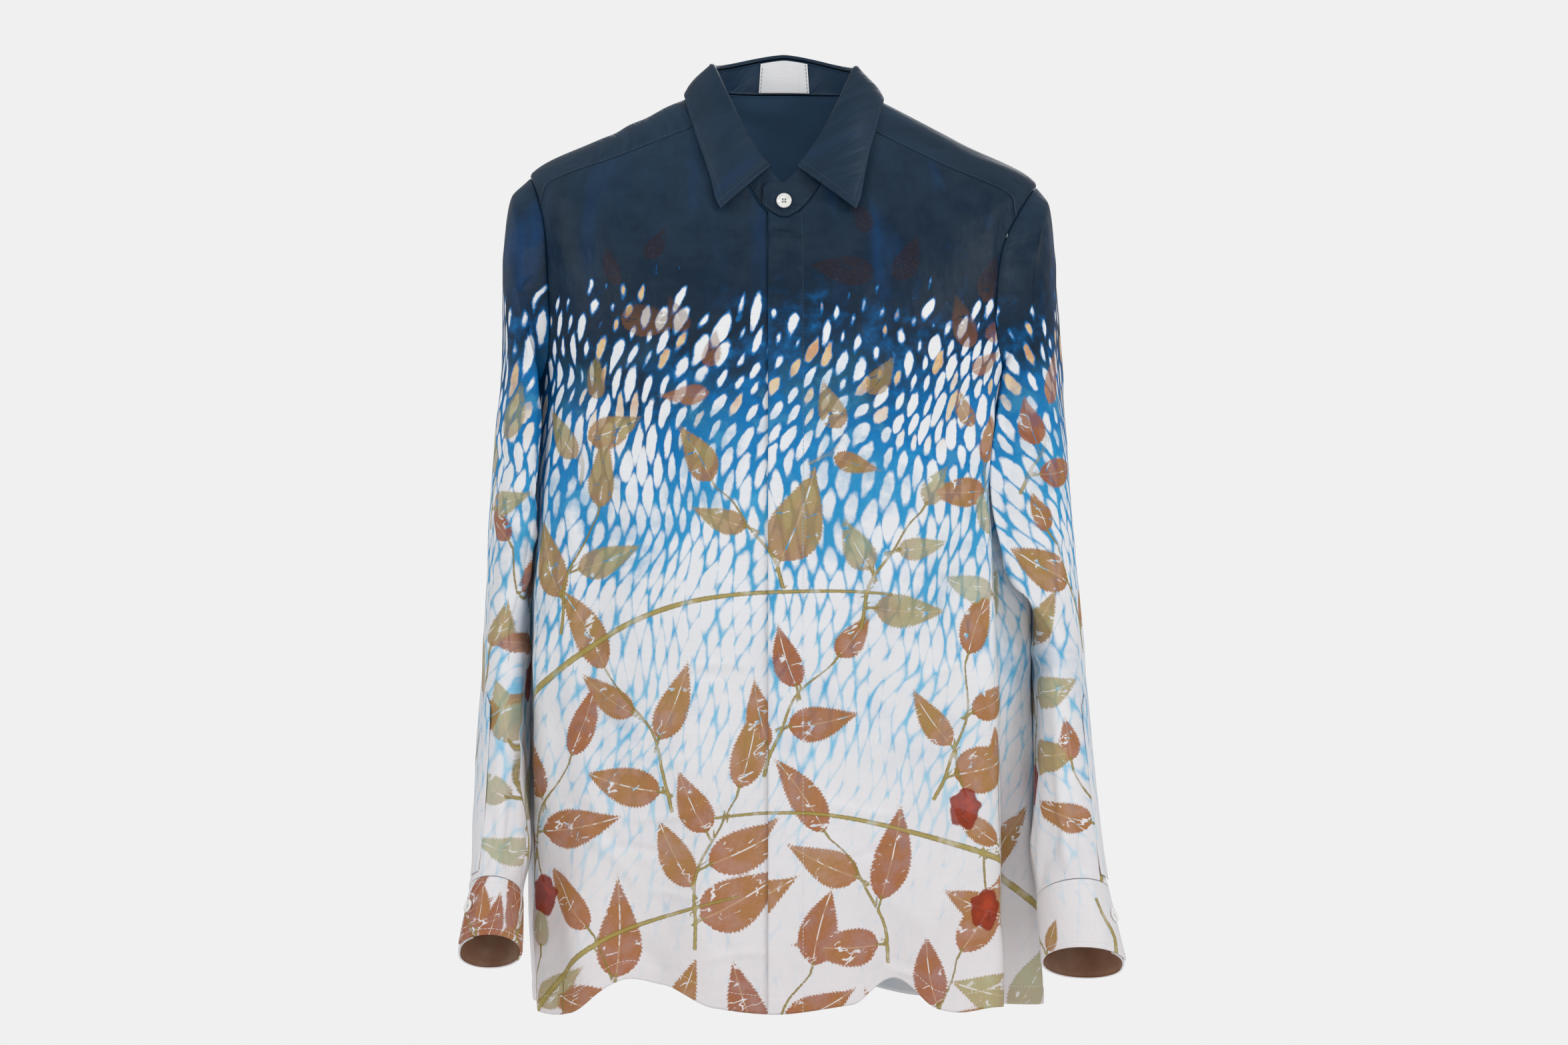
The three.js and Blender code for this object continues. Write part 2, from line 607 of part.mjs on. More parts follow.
function sleeveTube(sleeve) {
  const surface = (a, b) => sleevePoint(sleeve, a, b);
  const turns = spread(0, 360, 360 / ARMHOLE.step).slice(0, -1);
  const places = SLEEVE_ROWS.map((along) => turns.map((turn) => [turn, along]));
  const grid = gridOver(surface, places, (a, b) => normalOf(surface, a, b, 0, 1, sleeve.side));
  grid.normals[0] = turns.map((turn) => armholeNormal(sleeve, turn));
  insetEdge(grid, 'low');
  insetEdge(grid, 'high');
  return wallOf(grid, CLOTH, { tube: true, turned: sleeve.side < 0 });
}

for (const sleeve of SLEEVES) addPiece(`sleeve_${sleeve.name}`, sleeveTube(sleeve), 'silk');

// The cuffs: bands that start under themselves and end lapped on top, at the outer side of the wrist
const CUFF_COLUMNS = 28;
const CUFF_LAP = 34;
const CUFF_STEP_IN = 60;
const CUFF_START = 0.003;

function cuffSection(values) {
  const [out, inside, y, z, lean, deep, tilt] = values;
  return { out, in: inside, y, z, lean, deep, tilt, toe: 0, square: 2.1 };
}

function cuffSurface(sleeve) {
  const top = cuffSection(sleeve.cuff.top);
  const bottom = cuffSection(sleeve.cuff.bottom);
  return (turn, down) => {
    const point = sleeveSectionPoint(top, sleeve.side, turn);
    return point.lerp(sleeveSectionPoint(bottom, sleeve.side, turn), down);
  };
}

// How far a lapped band is stepped in at a place near its under end
function lapStep(place, end, fade, thickness) {
  const share = Math.min(1, Math.max(0, (place - (end - fade)) / (fade * 0.45)));
  return -(thickness + SEAM + 0.2) * share * share * (3 - 2 * share);
}

function cuffBand(sleeve) {
  const surface = cuffSurface(sleeve);
  const end = sleeve.closure + 360 + CUFF_LAP;
  const turns = spread(sleeve.closure, end, CUFF_COLUMNS);
  const places = [CUFF_START, 0.5, 1].map((down) => turns.map((turn) => [turn, down]));
  const grid = gridOver(surface, places, (a, b) => normalOf(surface, a, b, 0, 1, sleeve.side));
  const fade = CUFF_LAP + CUFF_STEP_IN;
  places.forEach((row, j) => row.forEach(([turn], i) => {
    grid.points[j][i].addScaledVector(grid.normals[j][i], lapStep(turn, end, fade, INTERLINED));
  }));
  return wallOf(grid, INTERLINED, { turned: sleeve.side < 0 });
}

for (const sleeve of SLEEVES) addPiece(`cuff_${sleeve.name}`, cuffBand(sleeve), 'silkPale');

// The sleeve plackets: pointed strips laid on the sleeve above each cuff's opening
function sleevePlacket(sleeve) {
  const surface = (a, b) => sleevePoint(sleeve, a, b);
  const across = spread(sleeve.closure + SLEEVE_PLACKET.from, sleeve.closure + SLEEVE_PLACKET.to, 4);
  const middle = (across[0] + across[4]) / 2;
  const half = (across[4] - across[0]) / 2;
  const rows = spread(0, 1, 7).map((share) => across.map((turn) => {
    const point = 1 - Math.abs(turn - middle) / half;
    const start = SLEEVE_PLACKET.start + (SLEEVE_PLACKET.point - SLEEVE_PLACKET.start) * point;
    return [turn, start + (SLEEVE_PLACKET.end - start) * share];
  }));
  const grid = gridOver(surface, rows, (a, b) => normalOf(surface, a, b, 0, 1, sleeve.side));
  return wallOf(liftGrid(grid, PLACKET_THICK + PLACKET_SEAT), PLACKET_THICK, { turned: sleeve.side < 0 });
}

for (const sleeve of SLEEVES) addPiece(`sleeve_placket_${sleeve.name}`, sleevePlacket(sleeve), 'silkPale');

// The collar stand: a band from the neckline up to its top edge, lapped at the centre front with a rounded end
const STAND_COLUMNS = 32;
const STAND_END_ANGLE = 22;
const STAND_ROUND = 24;
const neckline = smoothRow(BODY, 'level', 1);

function standPoint(angle, up) {
  const low = sectionPoint(neckline, angle);
  low.z += SEAM;
  return low.lerp(sectionPoint(STAND_TOP, angle), up);
}

// The end's top corner is cut to a quarter round: how high the band reaches at a distance from its end
function standHeight(distance) {
  if (distance >= STAND_ROUND) return 1;
  const share = 1 - distance / STAND_ROUND;
  return 1 - 0.72 * (1 - Math.sqrt(1 - share * share * 0.999));
}

function standBand() {
  const underEnd = angleAtX(STAND_TOP, STAND_UNDER_EDGE);
  const overEnd = angleAtX(STAND_TOP, -STAND_OVER_EDGE) - 360;
  const nearUnder = spread(underEnd, underEnd - STAND_END_ANGLE, 4).slice(0, -1);
  const nearOver = spread(overEnd + STAND_END_ANGLE, overEnd, 5).slice(1);
  const between = spread(underEnd - STAND_END_ANGLE, overEnd + STAND_END_ANGLE, STAND_COLUMNS);
  const angles = [...nearUnder, ...between, ...nearOver];
  const places = [0, 0.33, 0.67, 1].map((up) => angles.map((angle) => {
    const fromEnd = Math.min(Math.abs(angle - underEnd), Math.abs(angle - overEnd));
    return [angle, up * standHeight(fromEnd * RADIANS * STAND_TOP.front)];
  }));
  const grid = gridOver(standPoint, places, (a, b) => normalOf(standPoint, a, b));
  places.forEach((row, j) => row.forEach(([angle], i) => {
    const point = grid.points[j][i];
    if (angle > -90) point.addScaledVector(grid.normals[j][i], underStep(point.x, INTERLINED + SEAM + 0.3));
  }));
  return wallOf(grid, INTERLINED, { turned: true });
}

addPiece('collar_stand', standBand(), 'silkDark');

// The collar leaf: up from the stand's top edge, rolled over, and falling to its outer edge above the shoulders
const LEAF_COLUMNS = 40;
const LEAF_ROWS = [0, 0.06, 0.12, 0.18, 0.24, 0.3, 0.48, 0.65, 0.82, 1];

function leafPoint(along, h) {
  const angle = -LEAF_END_ANGLE - (360 - 2 * LEAF_END_ANGLE) * along;
  const top = standPoint(angle, 1);
  const up = top.clone().sub(standPoint(angle, 0)).normalize();
  const out = normalOf(standPoint, angle, 0.9);
  const turn = Math.min(1, h / LEAF_ROLL_SHARE) * Math.PI;
  const roll = top.addScaledVector(out, -INTERLINED).addScaledVector(up, LEAF_SEAT);
  roll.addScaledVector(up, LEAF_ROLL_RADIUS * Math.sin(turn));
  roll.addScaledVector(out, LEAF_ROLL_RADIUS * (1 - Math.cos(turn)));
  if (h <= LEAF_ROLL_SHARE) return roll;
  const fall = (h - LEAF_ROLL_SHARE) / (1 - LEAF_ROLL_SHARE);
  const place = smoothRow(LEAF_EDGE, 'along', along);
  const edge = bodyPoint(place.angle, place.level);
  edge.addScaledVector(normalOf(bodyPoint, place.angle, place.level), place.lift);
  return roll.lerp(edge, fall).addScaledVector(out, LEAF_BOW * 4 * fall * (1 - fall));
}

function leafNormal(along, h) {
  const step = 0.004;
  const alongA = leafPoint(Math.min(along + step, 1), h).sub(leafPoint(Math.max(along - step, 0), h));
  const alongB = leafPoint(along, Math.min(h + step, 1)).sub(leafPoint(along, Math.max(h - step, 0)));
  return alongA.cross(alongB).normalize();
}

function collarLeaf() {
  const places = LEAF_ROWS.map((h) => spread(0, 1, LEAF_COLUMNS).map((along) => [along, h]));
  const grid = gridOver(leafPoint, places, leafNormal);
  return wallOf(grid, INTERLINED);
}

addPiece('collar_leaf', collarLeaf(), 'silkDark');

// The label, bare, on the inner face of the stand at the back
function neckLabel() {
  const angles = spread(-180 + LABEL_HALF_ANGLE, -180 - LABEL_HALF_ANGLE, 6);
  const places = [0.05, 0.5, 0.96].map((up) => angles.map((angle) => [angle, up]));
  const grid = gridOver(standPoint, places, (a, b) => normalOf(standPoint, a, b));
  return wallOf(liftGrid(grid, -(INTERLINED + SEAM)), LABEL_THICK, { turned: true });
}

addPiece('label', neckLabel(), 'label');

// The buttons: discs with four holes, tangent to the cloth
function buttonDisc(radius) {
  const outline = new THREE.Shape();
  outline.absarc(0, 0, radius, 0, 2 * Math.PI, false);
  for (const [x, y] of [[1, 1], [-1, 1], [-1, -1], [1, -1]]) {
    const hole = new THREE.Path();
    const shift = BUTTON_HOLE_SPREAD / Math.SQRT2;
    hole.absarc(x * shift, y * shift, BUTTON_HOLE_RADIUS, 0, 2 * Math.PI, true);
    outline.holes.push(hole);
  }
  return new THREE.ExtrudeGeometry(outline, { depth: BUTTON_THICK, bevelEnabled: false, curveSegments: 6 });
}

function addButton(name, radius, point, normal) {
  const button = addPiece(name, buttonDisc(radius), 'button');
  button.quaternion.setFromUnitVectors(UP, normal);
  button.position.copy(point).addScaledVector(normal, SEAM);
}

const STAND_BUTTON = { angle: 0, up: 0.42 };
const standOutward = normalOf(standPoint, STAND_BUTTON.angle, STAND_BUTTON.up);
addButton('collar_button', BUTTON_RADIUS, standPoint(STAND_BUTTON.angle, STAND_BUTTON.up), standOutward);

for (const sleeve of SLEEVES) {
  const surface = cuffSurface(sleeve);
  const outward = normalOf(surface, sleeve.button, 0.45, 0, 1, sleeve.side);
  addButton(`cuff_button_${sleeve.name}`, CUFF_BUTTON_RADIUS, surface(sleeve.button, 0.45), outward);
}

export default shirt;
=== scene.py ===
from functools import partial

import bpy
import numpy as np
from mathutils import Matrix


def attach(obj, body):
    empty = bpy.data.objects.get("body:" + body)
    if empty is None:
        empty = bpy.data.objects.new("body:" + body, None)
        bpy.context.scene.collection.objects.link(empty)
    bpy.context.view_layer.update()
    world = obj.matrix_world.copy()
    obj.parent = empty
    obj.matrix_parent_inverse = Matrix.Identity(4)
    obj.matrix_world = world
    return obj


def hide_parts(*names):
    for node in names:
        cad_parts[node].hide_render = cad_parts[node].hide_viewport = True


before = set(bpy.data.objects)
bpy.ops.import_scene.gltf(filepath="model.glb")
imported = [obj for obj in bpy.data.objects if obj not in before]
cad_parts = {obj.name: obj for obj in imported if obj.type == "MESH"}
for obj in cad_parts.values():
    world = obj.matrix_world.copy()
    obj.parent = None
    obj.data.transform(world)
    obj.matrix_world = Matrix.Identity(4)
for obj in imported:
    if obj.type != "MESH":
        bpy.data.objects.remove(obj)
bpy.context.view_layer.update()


# The studio
# A pale round floor below the shirt, an even pale background, a strong soft light to the upper right, weaker
# ones to the left, in front and behind, and the camera level with the middle of the shirt, square to its
# front.

FLOOR_Z = -1.02
FLOOR_RADIUS = 1.45
CAMERA_Y = -3.2
CAMERA_Z = -0.36
CAMERA_LENS = 86.6
SENSOR_WIDTH = 36.0
BACKGROUND = "f0f0f0"
AMBIENT_SHARE = 0.58


def srgb(text):
    """A colour from its six hexadecimal digits, as linear light."""
    parts = [int(text[i:i + 2], 16) / 255 for i in (0, 2, 4)]
    return [p / 12.92 if p <= 0.04045 else ((p + 0.055) / 1.055) ** 2.4 for p in parts] + [1]


def in_scene(name, data):
    """A new object in the scene with the given data."""
    piece = bpy.data.objects.new(name, data)
    bpy.context.scene.collection.objects.link(piece)
    return piece


def mesh_piece(name, points, faces):
    mesh = bpy.data.meshes.new(name)
    mesh.from_pydata(points.tolist(), [], faces)
    mesh.shade_smooth()
    return in_scene(name, mesh)


def join_root(piece, node=None):
    """Puts a piece on the one body, and in the place of a node where one is named, hiding that node's part.
    """
    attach(piece, "root")
    if node is not None:
        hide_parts(node)


def mesh_from_grid(name, points, fields=None, wrap=False, flip=False):
    """A mesh of quads over a grid of points in metres, rows by columns. Wrap joins the last column to the
    first. Fields are grids of three numbers for each point, stored on the face corners, so that a
    wrapped grid's fields may have one column more than its points."""
    rows, columns = points.shape[:2]
    spans = columns if wrap else columns - 1
    row, column = np.meshgrid(np.arange(rows - 1), np.arange(spans), indexing="ij")
    row, column = row.ravel(), column.ravel()
    corner_rows = np.stack([row, row, row + 1, row + 1], 1)
    corner_columns = np.stack([column, column + 1, column + 1, column], 1)
    if flip:
        corner_rows, corner_columns = corner_rows[:, ::-1], corner_columns[:, ::-1]
    faces = corner_rows * columns + corner_columns % columns
    mesh = bpy.data.meshes.new(name)
    mesh.vertices.add(rows * columns)
    mesh.vertices.foreach_set("co", points.reshape(-1).astype(np.float32))
    mesh.loops.add(faces.size)
    mesh.loops.foreach_set("vertex_index", faces.ravel().astype(np.int32))
    mesh.polygons.add(len(faces))
    mesh.polygons.foreach_set("loop_start", np.arange(len(faces), dtype=np.int32) * 4)
    mesh.update(calc_edges=True)
    for key, values in (fields or {}).items():
        at_corners = values[corner_rows.ravel(), corner_columns.ravel()].astype(np.float32)
        attribute = mesh.attributes.new(key, "FLOAT_VECTOR", "CORNER")
        attribute.data.foreach_set("vector", at_corners.ravel())
    mesh.shade_smooth()
    return in_scene(name, mesh)


class Nodes:
    """Writes a material's nodes: each method adds one or a few and returns an output socket."""

    def __init__(self, name):
        self.material = bpy.data.materials.new(name)
        self.material.use_nodes = True
        self.tree = self.material.node_tree
        self.shader = self.tree.nodes["Principled BSDF"]

    def feed(self, socket, value):
        if isinstance(value, bpy.types.NodeSocket):
            self.tree.links.new(value, socket)
        else:
            socket.default_value = value

    def add(self, kind, inputs, **settings):
        """A node with its settings, and a link or a value for each input given."""
        node = self.tree.nodes.new(kind)
        for key, value in settings.items():
            setattr(node, key, value)
        for key, value in inputs.items():
            self.feed(node.inputs[key], value)
        return node

    def maths(self, operation, *values):
        return self.add("ShaderNodeMath", dict(enumerate(values)), operation=operation).outputs[0]

    def times(self, product, *factors):
        for factor in factors:
            product = self.maths("MULTIPLY", product, factor)
        return product

    def plus(self, first, second):
        return self.maths("ADD", first, second)

    def less(self, first, second):
        return self.maths("SUBTRACT", first, second)

    def line(self, value, slope, start):
        """Start plus slope times the value."""
        return self.maths("MULTIPLY_ADD", value, slope, start)

    def swayed(self, value, noise, amount):
        """The value moved by a noise, by up to half the amount each way."""
        return self.line(self.less(noise, 0.5), amount, value)

    def step(self, value, low, high):
        """0 below low and 1 above high, with a soft passage between. A falling one has its ends the other
        way round."""
        inputs = {"Value": value, "From Min": low, "From Max": high}
        return self.add("ShaderNodeMapRange", inputs, interpolation_type="SMOOTHSTEP").outputs["Result"]

    def mix(self, factor, low, high):
        inputs = {0: factor, 6: low, 7: high}
        return self.add("ShaderNodeMix", inputs, data_type="RGBA", blend_type="MIX").outputs[2]

    def tinted(self, colour, tone, *amounts):
        """The colour drawn towards a hexadecimal tone, by the product of the amounts."""
        return self.mix(self.times(*amounts), colour, srgb(tone))

    def ramp(self, value, stops):
        """A colour for each value: stops are places with a hexadecimal colour, or with a number for a
        grey."""
        node = self.add("ShaderNodeValToRGB", {0: value})
        elements = node.color_ramp.elements
        while len(elements) < len(stops):
            elements.new(0.5)
        for element, (place, colour) in zip(elements, stops):
            element.position = place
            element.color = srgb(colour) if isinstance(colour, str) else (colour, colour, colour, 1)
        return node.outputs["Color"]

    def split(self, vector, kind="XYZ"):
        return list(self.add("ShaderNodeSeparate" + kind, {0: vector}).outputs)

    def field(self, name):
        return self.add("ShaderNodeAttribute", {}, attribute_name=name).outputs["Vector"]

    def place(self):
        return self.add("ShaderNodeTexCoord", {}).outputs["Object"]

    def stretched(self, vector, turn, size):
        """The coordinates turned by an angle in degrees and divided by a size in metres along each axis."""
        inputs = {"Vector": vector, "Rotation": (0, 0, np.radians(turn)), "Scale": size}
        return self.add("ShaderNodeMapping", inputs, vector_type="TEXTURE").outputs[0]

    def noise(self, vector, scale, detail=2.0, roughness=0.5, kind="FBM", output="Fac"):
        inputs = {"Vector": vector, "Scale": scale, "Detail": detail, "Roughness": roughness}
        return self.add("ShaderNodeTexNoise", inputs, noise_type=kind).outputs[output]

    def wobble(self, vector, scale, amount):
        """The coordinates moved about by a noise, by up to the amount along each axis."""
        inputs = {0: self.noise(vector, scale, output="Color"), 1: (amount, amount, amount), 2: vector}
        return self.add("ShaderNodeVectorMath", inputs, operation="MULTIPLY_ADD").outputs[0]

    def voronoi(self, vector, feature, randomness=1.0):
        inputs = {"Vector": vector, "Scale": 1.0, "Randomness": randomness}
        return self.add("ShaderNodeTexVoronoi", inputs, feature=feature).outputs

    def bump(self, height, distance, strength, under=None):
        inputs = {"Height": height, "Distance": distance, "Strength": strength}
        if under is not None:
            inputs["Normal"] = under
        return self.add("ShaderNodeBump", inputs).outputs[0]

    def finish(self, colour, roughness, normal=None, **values):
        self.feed(self.shader.inputs["Base Color"], colour)
        self.feed(self.shader.inputs["Roughness"], roughness)
        if normal is not None:
            self.feed(self.shader.inputs["Normal"], normal)
        for key, value in values.items():
            self.shader.inputs[key.replace("_", " ")].default_value = value
        return self.material


def round_floor():
    """A flat disc of rings round the shirt's foot."""
    turns = np.linspace(0, 2 * np.pi, 73)[:-1]
    radius, turn = np.meshgrid(np.linspace(0.001, FLOOR_RADIUS, 12), turns, indexing="ij")
    points = np.stack([radius * np.cos(turn), radius * np.sin(turn), np.full(radius.shape, FLOOR_Z)], -1)
    return mesh_from_grid("studio_floor", points, wrap=True)


floor = round_floor()
paper = Nodes("studio_paper")
paper_grain = paper.noise(paper.place(), 40.0)
paper_tone = paper.ramp(paper_grain, [(0.3, "fafafa"), (0.7, "fcfcfc")])
floor.data.materials.append(paper.finish(paper_tone, 0.9))


def soft_light(name, place, aim, size, power):
    """A square area light at a place, turned to face its aim."""
    data = bpy.data.lights.new(name, "AREA")
    data.energy = power
    data.size = size
    light = in_scene(name, data)
    light.location = place
    x, y, z = np.subtract(aim, place)
    light.rotation_euler = (np.arctan2(np.hypot(x, y), -z), 0, np.arctan2(y, x) - np.pi / 2)


soft_light("key_light", (2.3, -1.9, 1.3), (0, 0, -0.35), 1.0, 32)
soft_light("side_light", (-2.4, -1.6, 0.9), (0, 0, -0.35), 1.2, 20)
soft_light("front_light", (0.2, -2.9, 0.3), (0, 0, -0.25), 0.8, 9)
soft_light("back_light", (0.3, 2.6, 0.9), (0, 0, -0.3), 1.4, 24)

world = bpy.data.worlds.new("studio_air")
world.use_nodes = True
air = world.node_tree
background = air.nodes["Background"]
background.inputs["Color"].default_value = srgb(BACKGROUND)
seen = air.nodes.new("ShaderNodeLightPath")
strength = air.nodes.new("ShaderNodeMapRange")
strength.inputs["To Min"].default_value = AMBIENT_SHARE
strength.inputs["To Max"].default_value = 1.0
air.links.new(seen.outputs["Is Camera Ray"], strength.inputs["Value"])
air.links.new(strength.outputs["Result"], background.inputs["Strength"])
bpy.context.scene.world = world
bpy.context.scene.view_settings.view_transform = "Standard"

camera_data = bpy.data.cameras.new("camera")
camera_data.lens = CAMERA_LENS
camera_data.sensor_width = SENSOR_WIDTH
camera = in_scene("camera", camera_data)
camera.location = (0, CAMERA_Y, CAMERA_Z)
camera.rotation_euler = (np.pi / 2, 0, 0)
bpy.context.scene.camera = camera


# The body of the shirt: its form
# Level sections from hem to neckline, rounded oblongs with folds, give the shape that both fronts, the back
# and the yoke are cut to. The tables are in millimetres, as on a cutting sheet, and MM turns them into
# metres.

MM = 0.001
SEAM = 0.3
UNDER_DEPTH = 2.5


def columns(names, rows):
    """A table as one array for each named column."""
    values = np.array(rows, float)
    return {name: values[:, i] for i, name in enumerate(names.split())}


BODY = columns("level left right front back zSide zFront zBack square dip drop", [
    [0.00, 213, 215, 124, 118, -764, -752, -768, 2.5, 2.0, 0],
    [0.10, 217, 213, 123, 116, -690, -682, -692, 2.5, 2.0, 0],
    [0.28, 218, 211, 121, 112, -550, -546, -550, 2.5, 2.0, 0],
    [0.46, 215, 207, 124, 116, -405, -405, -403, 2.5, 2.0, 0],
    [0.60, 209, 203, 129, 124, -292, -296, -288, 2.5, 2.0, 1],
    [0.66, 208, 202, 131, 127, -245, -254, -238, 2.5, 2.0, 2],
    [0.74, 213, 206, 128, 127, -186, -208, -180, 2.5, 2.0, 4],
    [0.82, 217, 212, 117, 118, -122, -170, -114, 2.4, 2.0, 6],
    [0.90, 215, 214, 100, 104, -68, -143, -59, 2.3, 2.0, 8],
    [0.95, 146, 146, 83, 86, -31, -124, -20, 2.2, 1.9, 6],
    [1.00, 66, 66, 63, 60, 8, -106, 9, 2.1, 1.7, 3],
])

# Folds: where each lies at its low and high end, its low, peak and high levels, how far it stands out, or in
# when minus, and its half width in degrees
FOLD_COLUMNS = "angleLow angleHigh low peak high amount width"
BODY_FOLDS = columns(FOLD_COLUMNS, [
    [47, 52, -0.5, 0.05, 0.62, 9, 13],
    [63, 62, -0.5, 0.10, 0.45, -17, 14],
    [67, 68, 0.14, 0.50, 0.74, -30, 18],
    [79, 78, -0.6, 0.00, 0.30, 6, 9],
    [-64, -66, -0.5, 0.10, 0.60, 7, 12],
    [-79, -80, -0.5, 0.10, 0.58, -12, 12],
    [-31, -24, -0.6, 0.00, 0.34, -13, 15],
    [-49, -44, -0.6, 0.00, 0.40, 6, 11],
    [23, 20, -0.6, 0.00, 0.26, -12, 10],
    [2, 3, -0.6, 0.02, 0.40, 5, 16],
    [34, 46, 0.20, 0.48, 0.74, -5, 12],
    [-36, -50, 0.18, 0.46, 0.74, -4, 13],
    [121, 116, -0.5, 0.05, 0.50, -12, 13],
    [139, 133, -0.5, 0.06, 0.42, 8, 11],
    [158, 152, -0.5, 0.02, 0.56, -9, 12],
    [178, 177, -0.5, 0.08, 0.50, 7, 13],
    [-160, -154, -0.5, 0.04, 0.46, -11, 12],
    [-139, -134, -0.5, 0.05, 0.58, 8, 12],
    [-118, -114, -0.5, 0.08, 0.50, -12, 13],
    [132, 128, 0.40, 0.60, 0.78, -6, 14],
    [-134, -128, 0.38, 0.58, 0.78, -6, 14],
])
HEM_LOBES = columns("x back lift width", [
    [-188, 0, -7, 40],
    [-138, 0, 16, 38],
    [-104, 0, 15, 46],
    [-12, 0, -9, 86],
    [90, 0, 20, 36],
    [142, 0, -6, 36],
    [-128, 1, 8, 50],
    [-40, 1, -6, 54],
    [44, 1, 7, 46],
    [124, 1, -7, 50],
])
HEM_LOBE_LEVEL = 0.14
ARMHOLE_LEVEL, ARMHOLE_HALF, ARMHOLE_BACKWARD, ARMHOLE_ROUND = 0.78, 0.12, 29, 0.78
ARMHOLE_FORWARD = {1: 36, -1: 27}
ARMHOLE_CLEARANCE = 0.003


def smooth(rows, key, t):
    """A smooth value of each column at t: cubic pieces between the rows, whose slope at a row is the
    harmonic mean of the slopes to both sides, or 0 at a high or low point. A column may hold an array for
    each row."""
    x = rows[key]
    t = np.clip(t, x[0], x[-1])
    i = np.searchsorted(x[1:-1], t, side="left")
    step = x[i + 1] - x[i]
    s = (t - x[i]) / step
    result = {}
    for name, column in rows.items():
        gaps = np.diff(x).reshape((-1,) + (1,) * (column.ndim - 1))
        secant = np.diff(column, axis=0) / gaps
        before, after = secant[:-1], secant[1:]
        agree = before * after > 0
        mean = np.where(agree, 2 * before * after / np.where(agree, before + after, 1), 0)
        slope = np.concatenate([secant[:1], mean, secant[-1:]])

        def at(values, index):
            return values[index] if column.ndim == 1 else np.take_along_axis(values, index[None], 0)[0]

        rise = at(column, i + 1) - at(column, i)
        ease = step * s * (1 - s) * (at(slope, i) * (1 - s) - at(slope, i + 1) * s)
        result[name] = at(column, i) + rise * s * s * (3 - 2 * s) + ease
    return result


def bump(distance, width):
    """1 in the middle of a fold, 0 at its half width and beyond, a raised cosine between."""
    return np.where(np.abs(distance) < width, 0.5 + 0.5 * np.cos(np.pi * distance / width), 0)


def soft(share):
    """The passage from 0 to 1 as share squared times 3 less 2 shares, held to its ends."""
    share = np.clip(share, 0, 1)
    return share * share * (3 - 2 * share)


def fold_amount(folds, angle, along):
    """How far the folds push the cloth out: each rises softly from its low end to its peak and falls to its
    high end, and is a raised cosine across."""
    total = np.zeros(np.broadcast(angle, along).shape)
    for low_angle, high_angle, low, peak, high, amount, width in zip(*folds.values()):
        fade = np.where(along < peak, (along - low) / (peak - low), (high - along) / max(high - peak, 1e-9))
        middle = low_angle + (high_angle - low_angle) * (along - low) / (high - low)
        apart = (angle - middle + 180) % 360 - 180
        total += np.where((along > low) & (along < high), amount * soft(fade) * bump(apart, width), 0)
    return total


def signed_power(value, power):
    return np.sign(value) * np.abs(value) ** power


def section_point(section, angle):
    """A point of a section: x is the reach times sin to the power 2 / square, y the reach times cos to that
    power, and the height passes from the side's to the front's or back's as 1 less sin to the power dip."""
    sine, cosine = np.sin(np.radians(angle)), np.cos(np.radians(angle))
    power = 2 / section["square"]
    reach_x = np.where(sine >= 0, section["right"], section["left"])
    reach_y = np.where(cosine >= 0, section["front"], section["back"])
    end = np.where(cosine >= 0, section["zFront"], section["zBack"])
    share = 1 - np.abs(sine) ** section["dip"]
    z = section["zSide"] + (end - section["zSide"]) * share - section["drop"] * np.maximum(0, sine) ** 2
    return np.stack([reach_x * signed_power(sine, power), -reach_y * signed_power(cosine, power), z], -1)


def unit(vectors):
    return vectors / np.maximum(np.linalg.norm(vectors, axis=-1, keepdims=True), 1e-12)


def body_point(angle, level):
    """The outer face of the body at an angle round it, 0 at the centre front, and a level from hem to
    neckline."""
    angle, level = np.broadcast_arrays(np.asarray(angle, float), np.asarray(level, float))
    section = smooth(BODY, "level", level)
    point = section_point(section, angle)
    reach_x = np.where(point[..., 0] >= 0, section["right"], section["left"])
    reach_y = np.where(point[..., 1] <= 0, section["front"], section["back"])
    slopes = [point[..., 0] / reach_x ** 2, point[..., 1] / reach_y ** 2, np.zeros(level.shape)]
    outward = unit(np.stack(slopes, -1))
    point = point + outward * fold_amount(BODY_FOLDS, angle, level)[..., None]
    fade = np.maximum(0, 1 - level / HEM_LOBE_LEVEL) ** 2
    weight = np.minimum(1, np.abs(point[..., 1]) / 60)
    at_back = (point[..., 1] > 0).astype(float)
    lift = np.zeros(level.shape)
    for x, back, amount, width in zip(*HEM_LOBES.values()):
        lift += np.where(at_back == back, amount * fade * weight * bump(point[..., 0] - x, width), 0)
    point[..., 2] += lift
    return point


def surface_normal(surface, a, b, low=0.0, high=1.0, sign=1):
    """The outward normal of a surface of two parameters, from small differences that stay inside its
    limits."""
    along_a = surface(a + 0.5, b) - surface(a - 0.5, b)
    along_b = surface(a, np.minimum(b + 0.004, high)) - surface(a, np.maximum(b - 0.004, low))
    return unit(np.cross(along_a, along_b)) * sign


def armhole_place(turn, side, scale=1.0):
    """The armhole's angle and level at a turn round it, 0 at the shoulder tip and 90 at the front."""
    across = signed_power(np.sin(np.radians(turn)), ARMHOLE_ROUND)
    up = signed_power(np.cos(np.radians(turn)), ARMHOLE_ROUND)
    reach = np.where(across >= 0, ARMHOLE_FORWARD[side], ARMHOLE_BACKWARD)
    return side * (90 - reach * scale * across), ARMHOLE_LEVEL + ARMHOLE_HALF * scale * up


# The sleeves: their form
# Each is a flattened tube that hangs from its armhole and bends forwards at the elbow, as it was steamed and
# filled. Out and in are the distances of its outer and inner side from the middle of the shirt.

